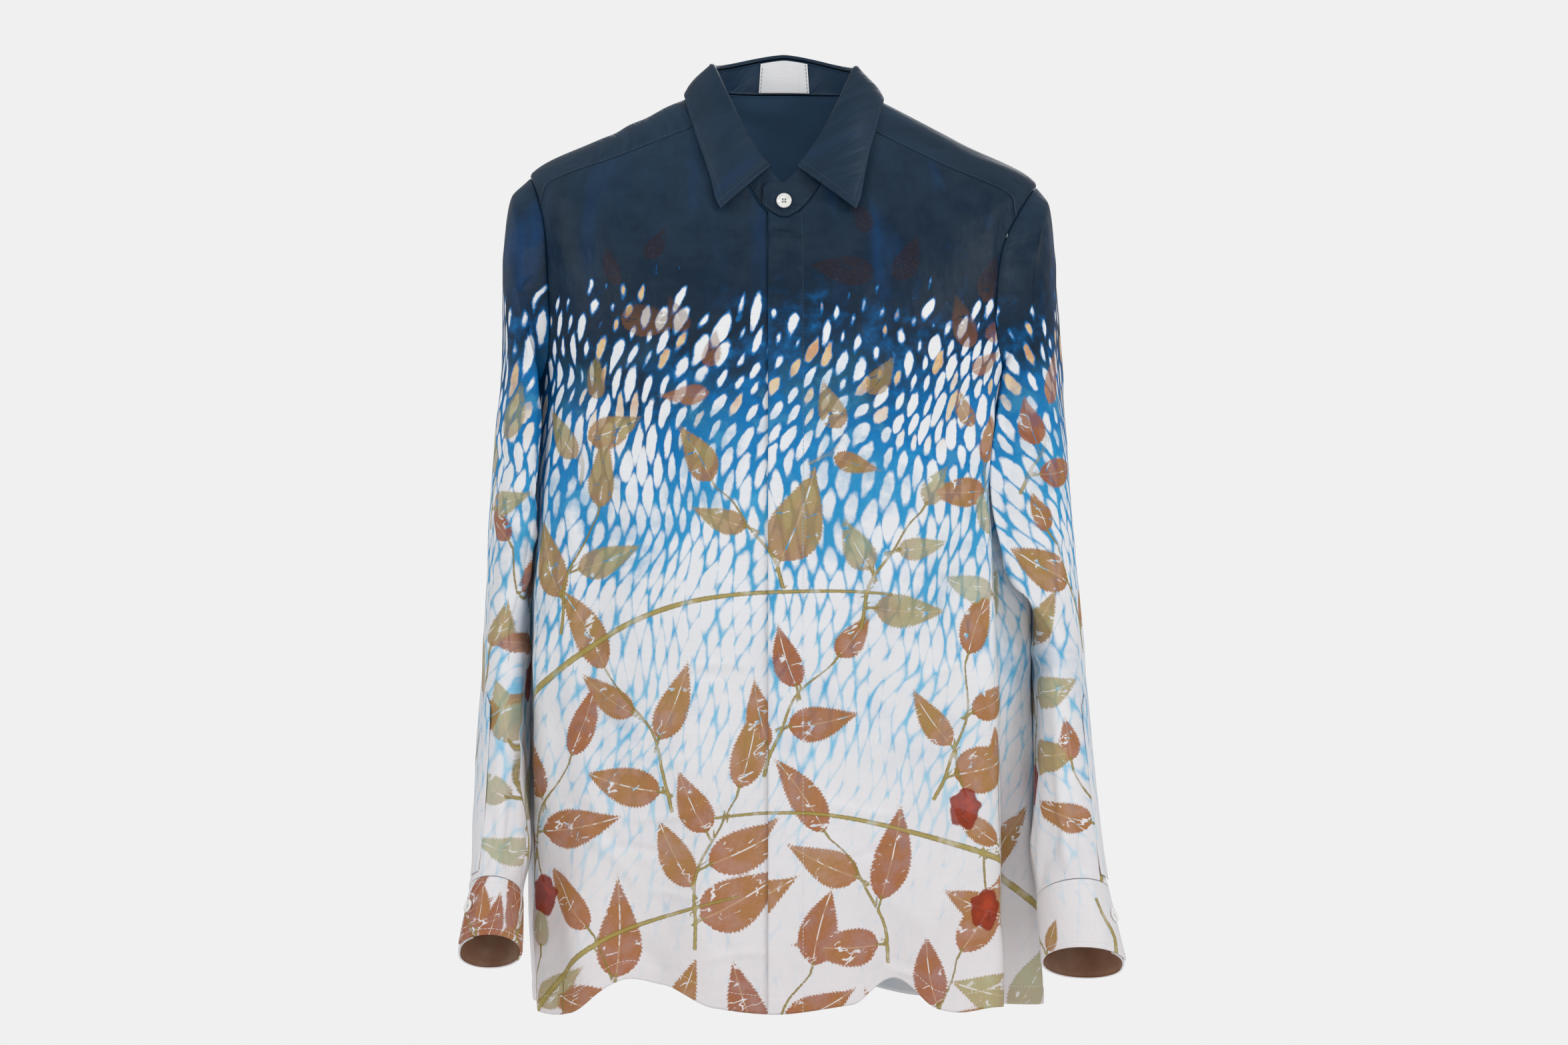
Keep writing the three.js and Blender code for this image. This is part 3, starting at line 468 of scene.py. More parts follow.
SLEEVE_COLUMNS = "along out in y z lean deep tilt toe square"
SLEEVES = {
    1: {
        "sections": columns(SLEEVE_COLUMNS, [
            [0.035, 222, 207, 0, -168, 160, 73, 0, 8, 2.2],
            [0.10, 228, 211, 1, -192, 138, 74, 0, 20, 2.2],
            [0.20, 234, 213, 3, -244, 92, 76, 0, 42, 2.3],
            [0.34, 241, 214, 8, -322, 44, 75, 0, 54, 2.3],
            [0.48, 248, 217, 13, -404, 14, 71, 4, 44, 2.3],
            [0.60, 253, 217, 0, -474, 6, 64, 15, 12, 2.2],
            [0.76, 258, 217, -36, -562, 5, 59, 22, 8, 2.2],
            [0.90, 264, 212, -64, -634, 5, 53, 24, 4, 2.2],
            [1.00, 269, 209, -79, -668, 4, 42, 24, 0, 2.1],
        ]),
        "folds": columns(FOLD_COLUMNS, [
            [76, 80, 0.06, 0.30, 0.56, -7, 26],
            [108, 104, 0.10, 0.28, 0.56, 3, 20],
            [40, 44, 0.10, 0.36, 0.60, 3.5, 24],
            [300, 292, 0.10, 0.34, 0.64, -6, 28],
            [245, 250, 0.16, 0.46, 0.72, 4, 26],
            [108, 96, 0.50, 0.57, 0.66, -6, 34],
            [84, 78, 0.80, 0.96, 1.00, -4.5, 17],
            [103, 98, 0.78, 0.95, 1.00, 4, 15],
            [128, 122, 0.70, 0.90, 1.00, -4, 20],
            [300, 296, 0.76, 0.94, 1.00, -3.5, 20],
            [255, 258, 0.72, 0.93, 1.00, 3.5, 20],
        ]),
    },
    -1: {
        "sections": columns(SLEEVE_COLUMNS, [
            [0.035, 229, 210, 0, -166, 162, 74, 0, 4, 2.2],
            [0.10, 236, 213, 1, -190, 140, 75, 0, 9, 2.2],
            [0.20, 239, 215, 3, -242, 94, 76, 0, 22, 2.3],
            [0.34, 245, 219, 7, -322, 46, 75, 0, 26, 2.3],
            [0.48, 251, 222, 11, -404, 16, 71, 4, 20, 2.3],
            [0.60, 254, 225, -2, -474, 6, 64, 14, 10, 2.2],
            [0.76, 257, 224, -34, -562, 4, 59, 21, 10, 2.2],
            [0.90, 259, 221, -62, -634, 3, 53, 24, 6, 2.2],
            [1.00, 261, 216, -76, -667, 2, 45, 24, 0, 2.1],
        ]),
        "folds": columns(FOLD_COLUMNS, [
            [98, 92, 0.05, 0.26, 0.92, -7, 26],
            [132, 126, 0.08, 0.24, 0.60, 5, 22],
            [60, 56, 0.10, 0.40, 0.80, 4, 24],
            [296, 290, 0.10, 0.38, 0.66, -6, 28],
            [250, 246, 0.16, 0.50, 0.76, 4, 26],
            [112, 100, 0.50, 0.56, 0.64, -4, 34],
            [122, 118, 0.78, 0.93, 1.00, -5, 20],
            [146, 142, 0.76, 0.92, 1.00, 3.5, 18],
            [72, 78, 0.80, 0.95, 1.00, -3.5, 18],
            [298, 294, 0.76, 0.94, 1.00, -3.5, 20],
        ]),
    },
}
SIDE_NAME = {1: "left", -1: "right"}
TOE_POWER = 3


def sleeve_section_point(section, side, turn):
    """A sleeve section's point: an oblong of its half width and half depth that leans, tilts and curls in in
    front."""
    power = 2 / section["square"]
    outward = signed_power(np.cos(np.radians(turn)), power)
    forward = signed_power(np.sin(np.radians(turn)), power)
    half = (section["out"] - section["in"]) / 2
    tilt = np.radians(section["tilt"])
    toe = section["toe"] * np.maximum(0, forward) ** TOE_POWER
    x = side * ((section["out"] + section["in"]) / 2 + half * outward - toe)
    y = section["y"] - section["deep"] * np.cos(tilt) * forward
    z = section["z"] + section["lean"] / 2 * outward + section["deep"] * np.sin(tilt) * forward
    return np.stack(np.broadcast_arrays(x, y, z), -1)


def sleeve_point(side, turn, along):
    """The outer face of a sleeve at a turn round it, 0 at its outer side and 90 in front, and a place from
    the armhole to the cuff seam: a smooth line through the sections, pushed out by the folds."""
    turn, along = np.broadcast_arrays(np.asarray(turn, float), np.asarray(along, float))
    sections = SLEEVES[side]["sections"]
    angle, level = armhole_place(turn, side, 1 - ARMHOLE_CLEARANCE)
    knots = [body_point(angle, level)]
    for row in zip(*sections.values()):
        knots.append(sleeve_section_point(dict(zip(sections.keys(), row)), side, turn))
    knots = np.stack(knots)
    places = np.concatenate([[0.0], sections["along"]])
    path = smooth({"along": places, **{axis: knots[..., k] for k, axis in enumerate("xyz")}}, "along", along)
    point = np.stack([path[axis] for axis in "xyz"], -1)
    section = smooth(sections, "along", along)
    tilt = np.radians(section["tilt"])
    outward = np.cos(np.radians(turn)) / (section["out"] - section["in"])
    forward = np.sin(np.radians(turn)) / (2 * section["deep"])
    push = unit(np.stack([side * outward, -forward * np.cos(tilt), forward * np.sin(tilt)], -1))
    return point + push * fold_amount(SLEEVES[side]["folds"], turn, along)[..., None]


def armhole_normal(side, turn):
    """Halfway between the normals of the body and of the sleeve on the armhole seam, so that both edges dip
    the same way there."""
    angle, level = armhole_place(turn, side)
    of_body = surface_normal(body_point, angle, level)
    of_sleeve = surface_normal(partial(sleeve_point, side), turn, np.full(turn.shape, 0.008), sign=side)
    return unit(of_body + of_sleeve)


# The print
# A generic dip dye runs over every panel from navy through azure to ivory, with a resist of slanting cells
# where the colours meet, and sprigs of leaves with a few red buds, placed by the tables below. All of it is
# worked out here.

SPRIG_COLUMNS = "u v height lean bow leaves leaf tone buds"
FRONT_SPRIGS = columns(SPRIG_COLUMNS, [
    [-86, -474, 360, 72, 84, 0, 0, 0.50, 0],
    [110, -648, 340, -74, -70, 0, 0, 0.50, 1],
    [-150, -735, 260, 58, 52, 0, 0, 0.50, 1],
    [-176, -402, 100, 20, 16, 3, 70, 0.55, 0],
    [-28, -372, 96, -34, -14, 3, 72, 0.48, 0],
    [88, -398, 104, 28, 18, 4, 66, 0.60, 0],
    [196, -420, 90, -16, 12, 3, 56, 0.80, 0],
    [-120, -540, 120, -26, -22, 4, 84, 0.34, 0],
    [12, -520, 104, 32, 20, 4, 68, 0.12, 0],
    [140, -530, 112, 14, -18, 4, 74, 0.28, 1],
    [-206, -610, 110, 24, 18, 4, 70, 0.16, 1],
    [-56, -645, 126, 16, 24, 5, 80, 0.22, 0],
    [64, -668, 112, -28, -20, 4, 78, 0.18, 0],
    [196, -640, 120, -10, 16, 4, 76, 0.30, 0],
    [-128, -748, 116, -34, 20, 4, 86, 0.20, 0],
    [2, -772, 96, 24, 14, 3, 82, 0.10, 0],
    [120, -768, 112, 30, -20, 4, 84, 0.14, 0],
    [-226, -760, 80, 10, 10, 3, 68, 0.70, 0],
    [222, -750, 90, -20, 10, 3, 70, 0.66, 0],
    [-132, -176, 60, 30, 10, 3, 52, 0.20, 0],
    [86, -152, 56, -26, 10, 3, 50, 0.20, 0],
    [158, -216, 64, 18, -12, 4, 50, 0.20, 0],
    [-60, -236, 60, -34, 12, 3, 48, 0.30, 0],
    [44, -286, 64, 40, -12, 3, 58, 0.46, 0],
    [-168, -296, 60, 12, 10, 3, 56, 0.50, 0],
    [176, -316, 60, -24, 10, 3, 56, 0.30, 0],
])
BACK_SPRIGS = columns(SPRIG_COLUMNS, [
    [60, -480, 420, -74, 44, 0, 0, 0.50, 1],
    [-90, -650, 360, 70, 40, 0, 0, 0.50, 1],
    [-200, -410, 96, 24, 14, 3, 66, 0.55, 0],
    [-70, -390, 104, -20, -16, 4, 70, 0.50, 0],
    [62, -404, 96, 30, 16, 3, 72, 0.60, 0],
    [184, -396, 100, -18, 14, 3, 64, 0.72, 0],
    [-140, -530, 116, -28, -20, 4, 80, 0.30, 0],
    [-8, -520, 110, 16, 20, 4, 76, 0.20, 1],
    [128, -540, 116, 26, -18, 4, 74, 0.34, 0],
    [-214, -640, 110, 20, 16, 4, 74, 0.18, 0],
    [-76, -650, 120, -16, 22, 5, 80, 0.12, 0],
    [60, -640, 112, 32, -20, 4, 78, 0.24, 1],
    [190, -660, 116, -22, 18, 4, 76, 0.16, 0],
    [-136, -756, 112, 28, 18, 4, 84, 0.14, 1],
    [-2, -766, 104, -26, 16, 4, 82, 0.22, 0],
    [130, -760, 112, 20, -18, 4, 84, 0.10, 0],
    [236, -760, 84, -14, 10, 3, 68, 0.68, 0],
    [-240, -760, 84, 12, 10, 3, 66, 0.62, 0],
    [-110, -170, 60, 26, 10, 3, 52, 0.20, 0],
    [70, -190, 60, -28, 10, 3, 52, 0.20, 0],
    [150, -240, 60, 18, -12, 3, 50, 0.30, 0],
    [-30, -262, 64, 36, 12, 3, 54, 0.40, 0],
    [-170, -290, 60, 12, 10, 3, 54, 0.46, 0],
])
SLEEVE_SPRIGS = {
    1: columns(SPRIG_COLUMNS, [
        [64, -300, 70, -20, 10, 3, 62, 0.16, 0],
        [30, -420, 100, 24, 14, 3, 60, 0.30, 0],
        [86, -520, 104, -18, -14, 4, 62, 0.55, 1],
        [30, -610, 96, 16, 12, 3, 60, 0.14, 0],
        [-60, -440, 100, -14, 14, 4, 62, 0.40, 0],
        [-50, -570, 104, 20, -14, 4, 62, 0.22, 1],
        [-120, -500, 96, -10, 10, 3, 56, 0.60, 0],
    ]),
    -1: columns(SPRIG_COLUMNS, [
        [40, -330, 70, 24, 10, 3, 58, 0.62, 0],
        [84, -430, 104, -22, 14, 3, 60, 0.10, 1],
        [28, -520, 104, 18, -14, 4, 60, 0.50, 0],
        [80, -600, 104, -12, 12, 4, 62, 0.70, 0],
        [-56, -460, 100, 16, 14, 4, 62, 0.30, 0],
        [-48, -590, 104, -18, -14, 4, 64, 0.18, 1],
        [-120, -540, 96, 12, 10, 3, 56, 0.46, 0],
    ]),
}
# The pieces without sprigs read the print beyond the panels, each from its own place across
PRINT_START = {"placket": 300, "yoke": 700, "collar_stand": 900, "collar_leaf": 1500}
NO_SPRIGS = columns(SPRIG_COLUMNS, [[9000, 0, 10, 0, 0, 0, 8, 0, 0]])
FAR = 1000.0
BRANCH_RADIUS, STEM_RADIUS, STALK_RADIUS = 3.1, 1.6, 1.0
BUD_RADIUS = 15.5
BUD_DROP = 34


def leaf_distance(u, v, base, heading, length, width, bend, point):
    """Distance to a pointed leaf's outline, minus inside, with the places along and across it. Its half
    width rises as the power 0.6 of the place along it and falls as 1 less the place to the power point, and
    its rib is bowed."""
    du, dv = u - base[0], v - base[1]
    along = (du * np.cos(heading) + dv * np.sin(heading)) / length
    s = np.clip(along, 0, 1)
    across = -du * np.sin(heading) + dv * np.cos(heading) - bend * length * s * (1 - s)
    widest = 0.6 / (0.6 + point)
    half = width / 2 * (s / widest) ** 0.6 * ((1 - s) / (1 - widest)) ** point
    beyond = np.maximum(np.maximum(-along, along - 1), 0) * length
    inside = (np.abs(across) - half) * 0.85
    return np.where(beyond > 0, np.hypot(across, beyond), inside), along, across / width


def nearer_stem(u, v, path, radii, stem):
    """The nearest stem's distance, offset to its left or right, and radius at each point, with one more
    stem: a line through the points of a path, with a radius at each."""
    for (a, b), radius in zip(zip(path[:-1], path[1:]), radii):
        du, dv = b - a
        length = np.hypot(du, dv)
        share = np.clip(((u - a[0]) * du + (v - a[1]) * dv) / length ** 2, 0, 1)
        distance = np.hypot(u - a[0] - share * du, v - a[1] - share * dv)
        offset = ((v - a[1]) * du - (u - a[0]) * dv) / length
        closer = distance < stem[0]
        stem = [np.where(closer, new, old) for new, old in zip((distance, offset, radius), stem)]
    return stem


def sprig_fields(u, v, sprigs, seed):
    """For each point of the cloth, in millimetres: the nearest leaf's distance, places and tone, the nearest
    stem's distance, offset and radius, and the nearest bud's distance. A sprig is a bowed stem with leaves
    on alternate sides, shorter towards its tip; its buds hang from it on thin stalks."""
    random = np.random.default_rng(seed)
    leaf = np.full(u.shape, FAR)
    along, across, tone = np.zeros(u.shape), np.zeros(u.shape), np.zeros(u.shape)
    stem = [np.full(u.shape, FAR), np.full(u.shape, FAR), np.full(u.shape, 1.0)]
    bud = np.full(u.shape, FAR)
    for middle_u, middle_v, height, lean, bow, count, length, hue, buds in zip(*sprigs.values()):
        direction = np.radians(90 - lean)
        tip = np.array([np.cos(direction), np.sin(direction)])
        side = np.array([-tip[1], tip[0]])
        base = np.array([middle_u, middle_v]) - tip * height / 2

        def on_stem(share):
            return base + tip * height * share + side * bow * 2 * share * (1 - share)

        near = np.hypot(u - middle_u, v - middle_v) < height / 2 + 2 * length + 60
        pu, pv = u[near], v[near]
        stem_here, bud_here = [part[near] for part in stem], bud[near]
        radius = STEM_RADIUS if count else BRANCH_RADIUS
        shares = np.linspace(0, 1, int(height / 9) + 3)
        waver = 12.0 * np.sin(8 * shares + hue * 20) * (1 - shares) * shares
        path = [on_stem(share) + side * shift for share, shift in zip(shares, waver)]
        stem_here = nearer_stem(pu, pv, path, radius * (1 - 0.65 * shares), stem_here)
        best = [leaf[near], along[near], across[near], tone[near]]
        for k in range(int(count)):
            share = (k + 0.35 + 0.3 * random.random()) / count
            hand = 1 if (k + int(hue * 10)) % 2 else -1
            heading = direction + hand * np.radians(58 - 24 * share + 26 * (random.random() - 0.5))
            if k == count - 1:
                share = 1.0
                heading = direction + np.radians(20 * (random.random() - 0.5))
            size = length * (1.0 - 0.22 * share) * (0.78 + 0.46 * random.random())
            start = on_stem(share)
            foot = start + 8 * np.array([np.cos(heading), np.sin(heading)])
            stem_here = nearer_stem(pu, pv, [start, foot], [STALK_RADIUS], stem_here)
            width = size * (0.38 + 0.16 * random.random())
            point = 1.05 + 0.6 * random.random()
            found = leaf_distance(pu, pv, foot, heading, size, width, 0.14 * hand, point)
            closer = found[0] < best[0]
            shade = hue + 0.20 * (random.random() - 0.5)
            for slot, value in zip(range(4), (*found, np.full(pu.shape, shade))):
                best[slot] = np.where(closer, value, best[slot])
        leaf[near], along[near], across[near], tone[near] = best
        for k in range(int(buds)):
            start = on_stem(0.35 + 0.3 * k)
            sway = 14 * (random.random() - 0.3)
            fall = np.linspace(0, 1, 5)
            path = list(start + np.stack([sway * fall ** 2, -BUD_DROP * fall], -1))
            stem_here = nearer_stem(pu, pv, path, np.full(5, 0.9 * STALK_RADIUS), stem_here)
            centre = start + np.array([sway, -BUD_DROP - 12])
            spin = np.arctan2(pv - centre[1], pu - centre[0])
            reach = np.hypot((pu - centre[0]) / 0.82, pv - centre[1])
            ragged = 1.3 * np.sin(5 * spin + 1.0) + 0.9 * np.sin(8 * spin)
            beak = 2.5 * np.maximum(0, -np.sin(spin)) ** 6
            bud_here = np.minimum(bud_here, reach - BUD_RADIUS - ragged - beak)
        for part, value in zip(stem, stem_here):
            part[near] = value
        bud[near] = bud_here
    return {
        "leaf": np.stack([leaf * MM, along, across], -1),
        "sprig": np.stack([tone, np.zeros(u.shape), bud * MM], -1),
        "stem": np.stack(stem, -1) * MM,
    }


def printed_fields(u, v, sprigs, seed):
    """The fields that the print's material reads: the place on the cloth in metres, and the sprigs'
    distances."""
    place = np.stack([u * MM, v * MM, np.full(u.shape, float(seed))], -1)
    return {"cloth": place, **sprig_fields(u, v, sprigs, seed)}


DYE_DATUM = 0.755
CELL_SLANT = -14
CELL_SIZE = (0.0098, 0.0300, 1)
CELL_RANDOMNESS = 0.26
LEAF_TEETH = 26.0


def dye_height(m, cloth, v):
    """The height on the shirt in metres that sets the dye's depth, 0 near the hem, with a slow drift."""
    return m.line(m.noise(cloth, 4.5, 1.0), 0.09, m.plus(v, DYE_DATUM))


def dip_dye(m, cloth, u, height, uneven, streaks):
    """The dyed ground, from ivory below to navy above, pooled and marbled, with azure streaks in the navy."""
    depth = m.swayed(height, m.noise(cloth, 7.0), 0.16)
    depth = m.line(m.step(u, 0.06, -0.12), 0.03, depth)
    ground = m.ramp(m.swayed(depth, uneven, 0.26), [
        (0.02, "dfe5ea"), (0.12, "b9dcec"), (0.22, "93cde8"), (0.32, "70bbdf"), (0.40, "46a5d4"),
        (0.46, "2593cc"), (0.51, "0077bb"), (0.55, "0068a6"), (0.58, "024877"), (0.61, "082d49"),
        (0.64, "0d2438"), (0.70, "1a2e40"), (0.84, "243c52"), (1.0, "223b52"),
    ])
    marbled = m.times(m.step(uneven, 0.50, 0.64), m.step(depth, 0.60, 0.53))
    ground = m.tinted(ground, "48a8da", marbled, 0.45)
    streak = m.noise(m.stretched(cloth, 4, (0.040, 0.20, 1)), 1.0, 4.0)
    one_side = m.line(m.step(u, -0.05, 0.10), 0.75, 0.25)
    glow = m.times(m.step(streak, 0.50, 0.78), m.times(m.step(height, 0.56, 0.66), one_side))
    return m.tinted(ground, "074a86", glow, streaks)


def with_cells(m, cloth, height, uneven, ground):
    """The ground with its resist. Each cell is a slanting rounded diamond, pale inside, that grows downwards
    until only thin blue lines are left and then ivory cloth. The higher ones have azure rims, and some are
    tan."""
    bent = m.wobble(m.wobble(m.wobble(cloth, 3.8, 0.13), 11.0, 0.008), 60.0, 0.003)
    cells_at = m.stretched(m.stretched(bent, CELL_SLANT, CELL_SIZE), 45, (1, 1, 1))
    edges = m.voronoi(cells_at, "DISTANCE_TO_EDGE", CELL_RANDOMNESS)
    cells = m.voronoi(cells_at, "F1", CELL_RANDOMNESS)
    chance, other_chance, _ = m.split(cells["Color"], "Color")
    from_middle = m.less(0.5, cells["Distance"])
    inside = m.line(from_middle, 0.75, m.times(edges["Distance"], 0.25))
    closed = m.split(m.ramp(height, [
        (0.0, 0.40), (0.10, 0.42), (0.20, 0.44), (0.30, 0.467), (0.38, 0.495), (0.45, 0.527), (0.51, 0.565),
        (0.55, 0.60), (0.58, 0.65), (0.61, 0.72), (0.64, 1.0),
    ]), "Color")[0]
    closed = m.line(closed, 1.5, -0.75)
    patch = m.noise(cloth, 10.0)
    spread = m.line(m.step(height, 0.54, 0.62), 0.40, 0.16)
    strokes = m.noise(m.stretched(bent, CELL_SLANT, (0.008, 0.024, 1)), 1.0)
    for source, amount in ((patch, 0.34), (chance, spread), (strokes, 0.30)):
        closed = m.swayed(closed, source, amount)
    fray = m.line(m.noise(cloth, 130.0, 4.0, 0.65), 0.24, -0.12)
    clear = m.less(m.plus(inside, fray), closed)
    blur = m.line(m.step(height, 0.58, 0.28), 0.12, 0.06)
    below_navy = m.step(height, 0.665, 0.64)
    pale = m.times(m.step(clear, m.times(blur, -0.7), blur), below_navy)
    spared = m.ramp(height, [(0.0, "e4dedf"), (0.25, "e6e5e8"), (0.5, "eceff3"), (0.7, "f0f0ee")])
    tan = m.mix(m.step(uneven, 0.40, 0.62), srgb("e3c48d"), srgb("cf9255"))
    is_tan = m.times(m.step(other_chance, 0.74, 0.78), m.step(height, 0.50, 0.57), 0.9)
    spared = m.mix(is_tan, spared, tan)
    halo = m.times(m.step(clear, -0.12, -0.01), m.step(height, 0.50, 0.58), below_navy)
    dyed = m.tinted(ground, "0078c2", halo, 0.85)
    dyed = m.mix(m.line(m.step(height, 0.06, 0.30), 0.72, 0.28), srgb("e4dedf"), dyed)
    dyed = m.mix(pale, dyed, spared)
    wash = m.times(m.step(patch, 0.46, 0.66), m.step(height, 0.20, 0.36), m.step(height, 0.60, 0.54))
    return m.tinted(dyed, "3a9ccc", wash, m.step(uneven, 0.35, 0.65), 0.55)


def with_leaves(m, cloth, height, blotch, fine, ragged, under):
    """The cloth with its leaves: toothed, from red brown to green by the sprig's tone, with ribs, veins and
    bare cracks, and thinner and darker in the navy."""
    leaf, along, across = m.split(m.field("leaf"))
    teeth = m.times(m.maths("FRACT", m.times(along, LEAF_TEETH)), 0.0013)
    mask = m.step(m.plus(m.plus(leaf, ragged), teeth), 0.0008, -0.0004)
    tone = m.swayed(m.split(m.field("sprig"))[0], blotch, 0.55)
    colour = m.ramp(tone, [
        (0.0, "964a1a"), (0.12, "a36026"), (0.28, "a8712c"), (0.45, "a47f38"), (0.60, "a2934a"),
        (0.78, "9c9c54"), (1.0, "86893f"),
    ])
    colour = m.tinted(colour, "a3471a", m.step(along, 0.45, 0.05), 0.28)
    width_share = m.maths("ABSOLUTE", across)
    slant = m.less(along, m.times(width_share, 0.62))
    vein = m.maths("ABSOLUTE", m.maths("SINE", m.times(slant, LEAF_TEETH)))
    vein = m.times(m.step(vein, 0.14, 0.03), 0.4)
    rib = m.step(width_share, 0.026, 0.008)
    colour = m.tinted(colour, "cfae78", m.maths("MAXIMUM", rib, vein), 0.40)
    colour = m.tinted(colour, "95552a", m.step(leaf, -0.0030, -0.0002), 0.22)
    colour = m.tinted(colour, "2c171a", m.step(height, 0.56, 0.64))
    colour = m.tinted(colour, "cfae7c", m.step(fine, 0.55, 0.75), 0.15)
    cracks_at = m.wobble(m.stretched(cloth, 28, (0.034, 0.013, 1)), 1.6, 1.1)
    crack = m.step(m.voronoi(cracks_at, "DISTANCE_TO_EDGE")["Distance"], 0.045, 0.015)
    crack = m.times(crack, m.step(m.noise(cloth, 75.0, 3.0), 0.53, 0.60))
    split_rib = m.times(m.step(width_share, 0.020, 0.006), m.step(blotch, 0.50, 0.56))
    cover = m.line(m.step(blotch, 0.30, 0.62), 0.14, 0.82)
    cover = m.times(cover, m.less(1.0, m.maths("MAXIMUM", crack, split_rib)))
    cover = m.times(cover, m.line(m.step(height, 0.62, 0.50), 0.48, 0.50))
    cover = m.times(cover, m.line(m.step(tone, 0.40, 0.90), -0.35, 1.0))
    return m.mix(m.times(mask, cover), under, colour)


def with_stems(m, height, blotch, ragged, under):
    """The cloth with its stems: lines with a darker rim, cut off at their ends, that fade into the blue."""
    distance, offset, radius = m.split(m.field("stem"))
    stem = m.less(m.maths("ABSOLUTE", offset), radius)
    mask = m.step(m.line(ragged, 0.5, stem), 0.0005, -0.0005)
    mask = m.times(mask, m.step(m.less(distance, radius), 0.0032, 0.0018))
    colour = m.mix(blotch, srgb("bfae62"), srgb("94803c"))
    colour = m.tinted(colour, "7d6a2c", m.step(stem, -0.0012, -0.0001))
    cover = m.line(m.step(blotch, 0.34, 0.5), 0.35, 0.60)
    return m.mix(m.times(mask, cover, m.step(height, 0.54, 0.44)), under, colour)


def with_buds(m, uneven, ragged, under):
    bud = m.split(m.field("sprig"))[2]
    colour = m.mix(m.step(uneven, 0.40, 0.62), srgb("b03a1c"), srgb("7e2314"))
    colour = m.tinted(colour, "8c2c16", m.step(bud, -0.010, -0.001))
    return m.mix(m.times(m.step(m.plus(bud, ragged), 0.0010, -0.0010), 0.92), under, colour)


def printed_silk(name, streaks=0.8):
    """Satin silk with the print: the dyed ground, its cells, and over them leaves, stems and buds, each with
    a wavering outline. Soft crumples, fine creases, slubs and the weave stand in relief."""
    m = Nodes(name)
    cloth = m.field("cloth")
    u, v, _ = m.split(cloth)
    height = dye_height(m, cloth, v)
    uneven = m.noise(cloth, 48.0, 5.0, 0.62)
    blotch = m.noise(cloth, 55.0, 3.0)
    fine = m.noise(cloth, 700.0)
    ragged = m.line(m.noise(cloth, 420.0), 0.0022, -0.0011)
    printed = dip_dye(m, cloth, u, height, uneven, streaks)
    printed = with_cells(m, cloth, height, uneven, printed)
    printed = with_leaves(m, cloth, height, blotch, fine, ragged, printed)
    printed = with_stems(m, height, blotch, ragged, printed)
    printed = with_buds(m, uneven, ragged, printed)
    slub = m.noise(m.stretched(cloth, 0, (0.05, 0.0016, 1)), 1.0)
    shade = m.line(slub, 0.05, m.line(m.noise(cloth, 14.0, 3.0), 0.10, 0.94))
    shaded = {0: printed, "Scale": m.less(shade, 0.02)}
    colour = m.add("ShaderNodeVectorMath", shaded, operation="SCALE").outputs[0]

    crumple = m.noise(m.stretched(m.wobble(cloth, 9.0, 0.03), 8, (0.030, 0.052, 1)), 1.0, 3.0, 0.55)
    creases_at = m.stretched(m.wobble(cloth, 7.0, 0.05), -15, (0.050, 0.030, 1))
    crease = m.noise(creases_at, 1.0, kind="RIDGED_MULTIFRACTAL")
    weave = m.noise(m.stretched(cloth, 0, (0.0004, 0.0030, 1)), 1.0, 1.0)
    normal = None
    for relief_of, distance, strength in (
        (crumple, 0.0070, 0.45), (crease, 0.0014, 0.38), (slub, 0.00012, 0.3), (weave, 0.00008, 0.35),
    ):
        normal = m.bump(relief_of, distance, strength, normal)
    return m.finish(colour, m.line(fine, 0.12, 0.44), normal, Specular_IOR_Level=0.20)


def reverse_silk():
    """The wrong side of the satin: matt, with the dye's depth seen through it as a softer copy, paler partly
    as a satin's wrong side is and partly as painted light that brightens the shadowed inside seen through the
    neck.
    """
    m = Nodes("silk_reverse")
    cloth = m.field("cloth")
    height = dye_height(m, cloth, m.split(cloth)[1])
    cloud = m.noise(m.stretched(cloth, -15, (0.012, 0.03, 1)), 1.0, 3.0)
    # Painted light: the navy end of this ramp is raised well above the face's navy to brighten insides that
    # lie in shadow.
    colour = m.ramp(m.swayed(height, cloud, 0.16), [
        (0.0, "dcd6d6"), (0.2, "c0d8e4"), (0.36, "94c4de"), (0.46, "64a8d0"), (0.53, "4c88b2"),
        (0.60, "4a7190"), (0.72, "4c6e8e"), (1.0, "4e6c8a"),
    ])
    weave = m.noise(m.stretched(cloth, 0, (0.0006, 0.0006, 1)), 1.0, 1.0)
    return m.finish(colour, 0.72, m.bump(weave, 0.0001, 0.3), Specular_IOR_Level=0.15)


SILK = printed_silk("printed_silk")
PLAIN_SILK = printed_silk("navy_silk", 0.15)
REVERSE = reverse_silk()


# The two fronts
# Silk satin, each cut on the straight with a curved hem. The wearer's left front laps over the right one,
# and its edge is folded under and stitched down 29 mm in, so that the strip hides the buttons.

OVER_EDGE = 13
UNDER_EDGE = 16
PLACKET_STITCH = 29
YOKE_FRONT_TURN = 45
YOKE_BACK_TURN = -60
YOKE_NECK_ANGLE = 58
HEM_STITCH = 15
CLOTH_THICK = 0.7
UNDER_FADE_FULL, UNDER_FADE_NONE = -19, -62
GROWN = 1 + ARMHOLE_CLEARANCE

# Levels on the centre line level with the hem, the underarm, the yoke seam at the armhole and the neck
FRONT_CENTRE_LEVELS = [0, 0.615, 0.875, 1]
BACK_CENTRE_LEVEL = 0.635
ARMHOLE_CROWDING = 1.3
COARSE = 1

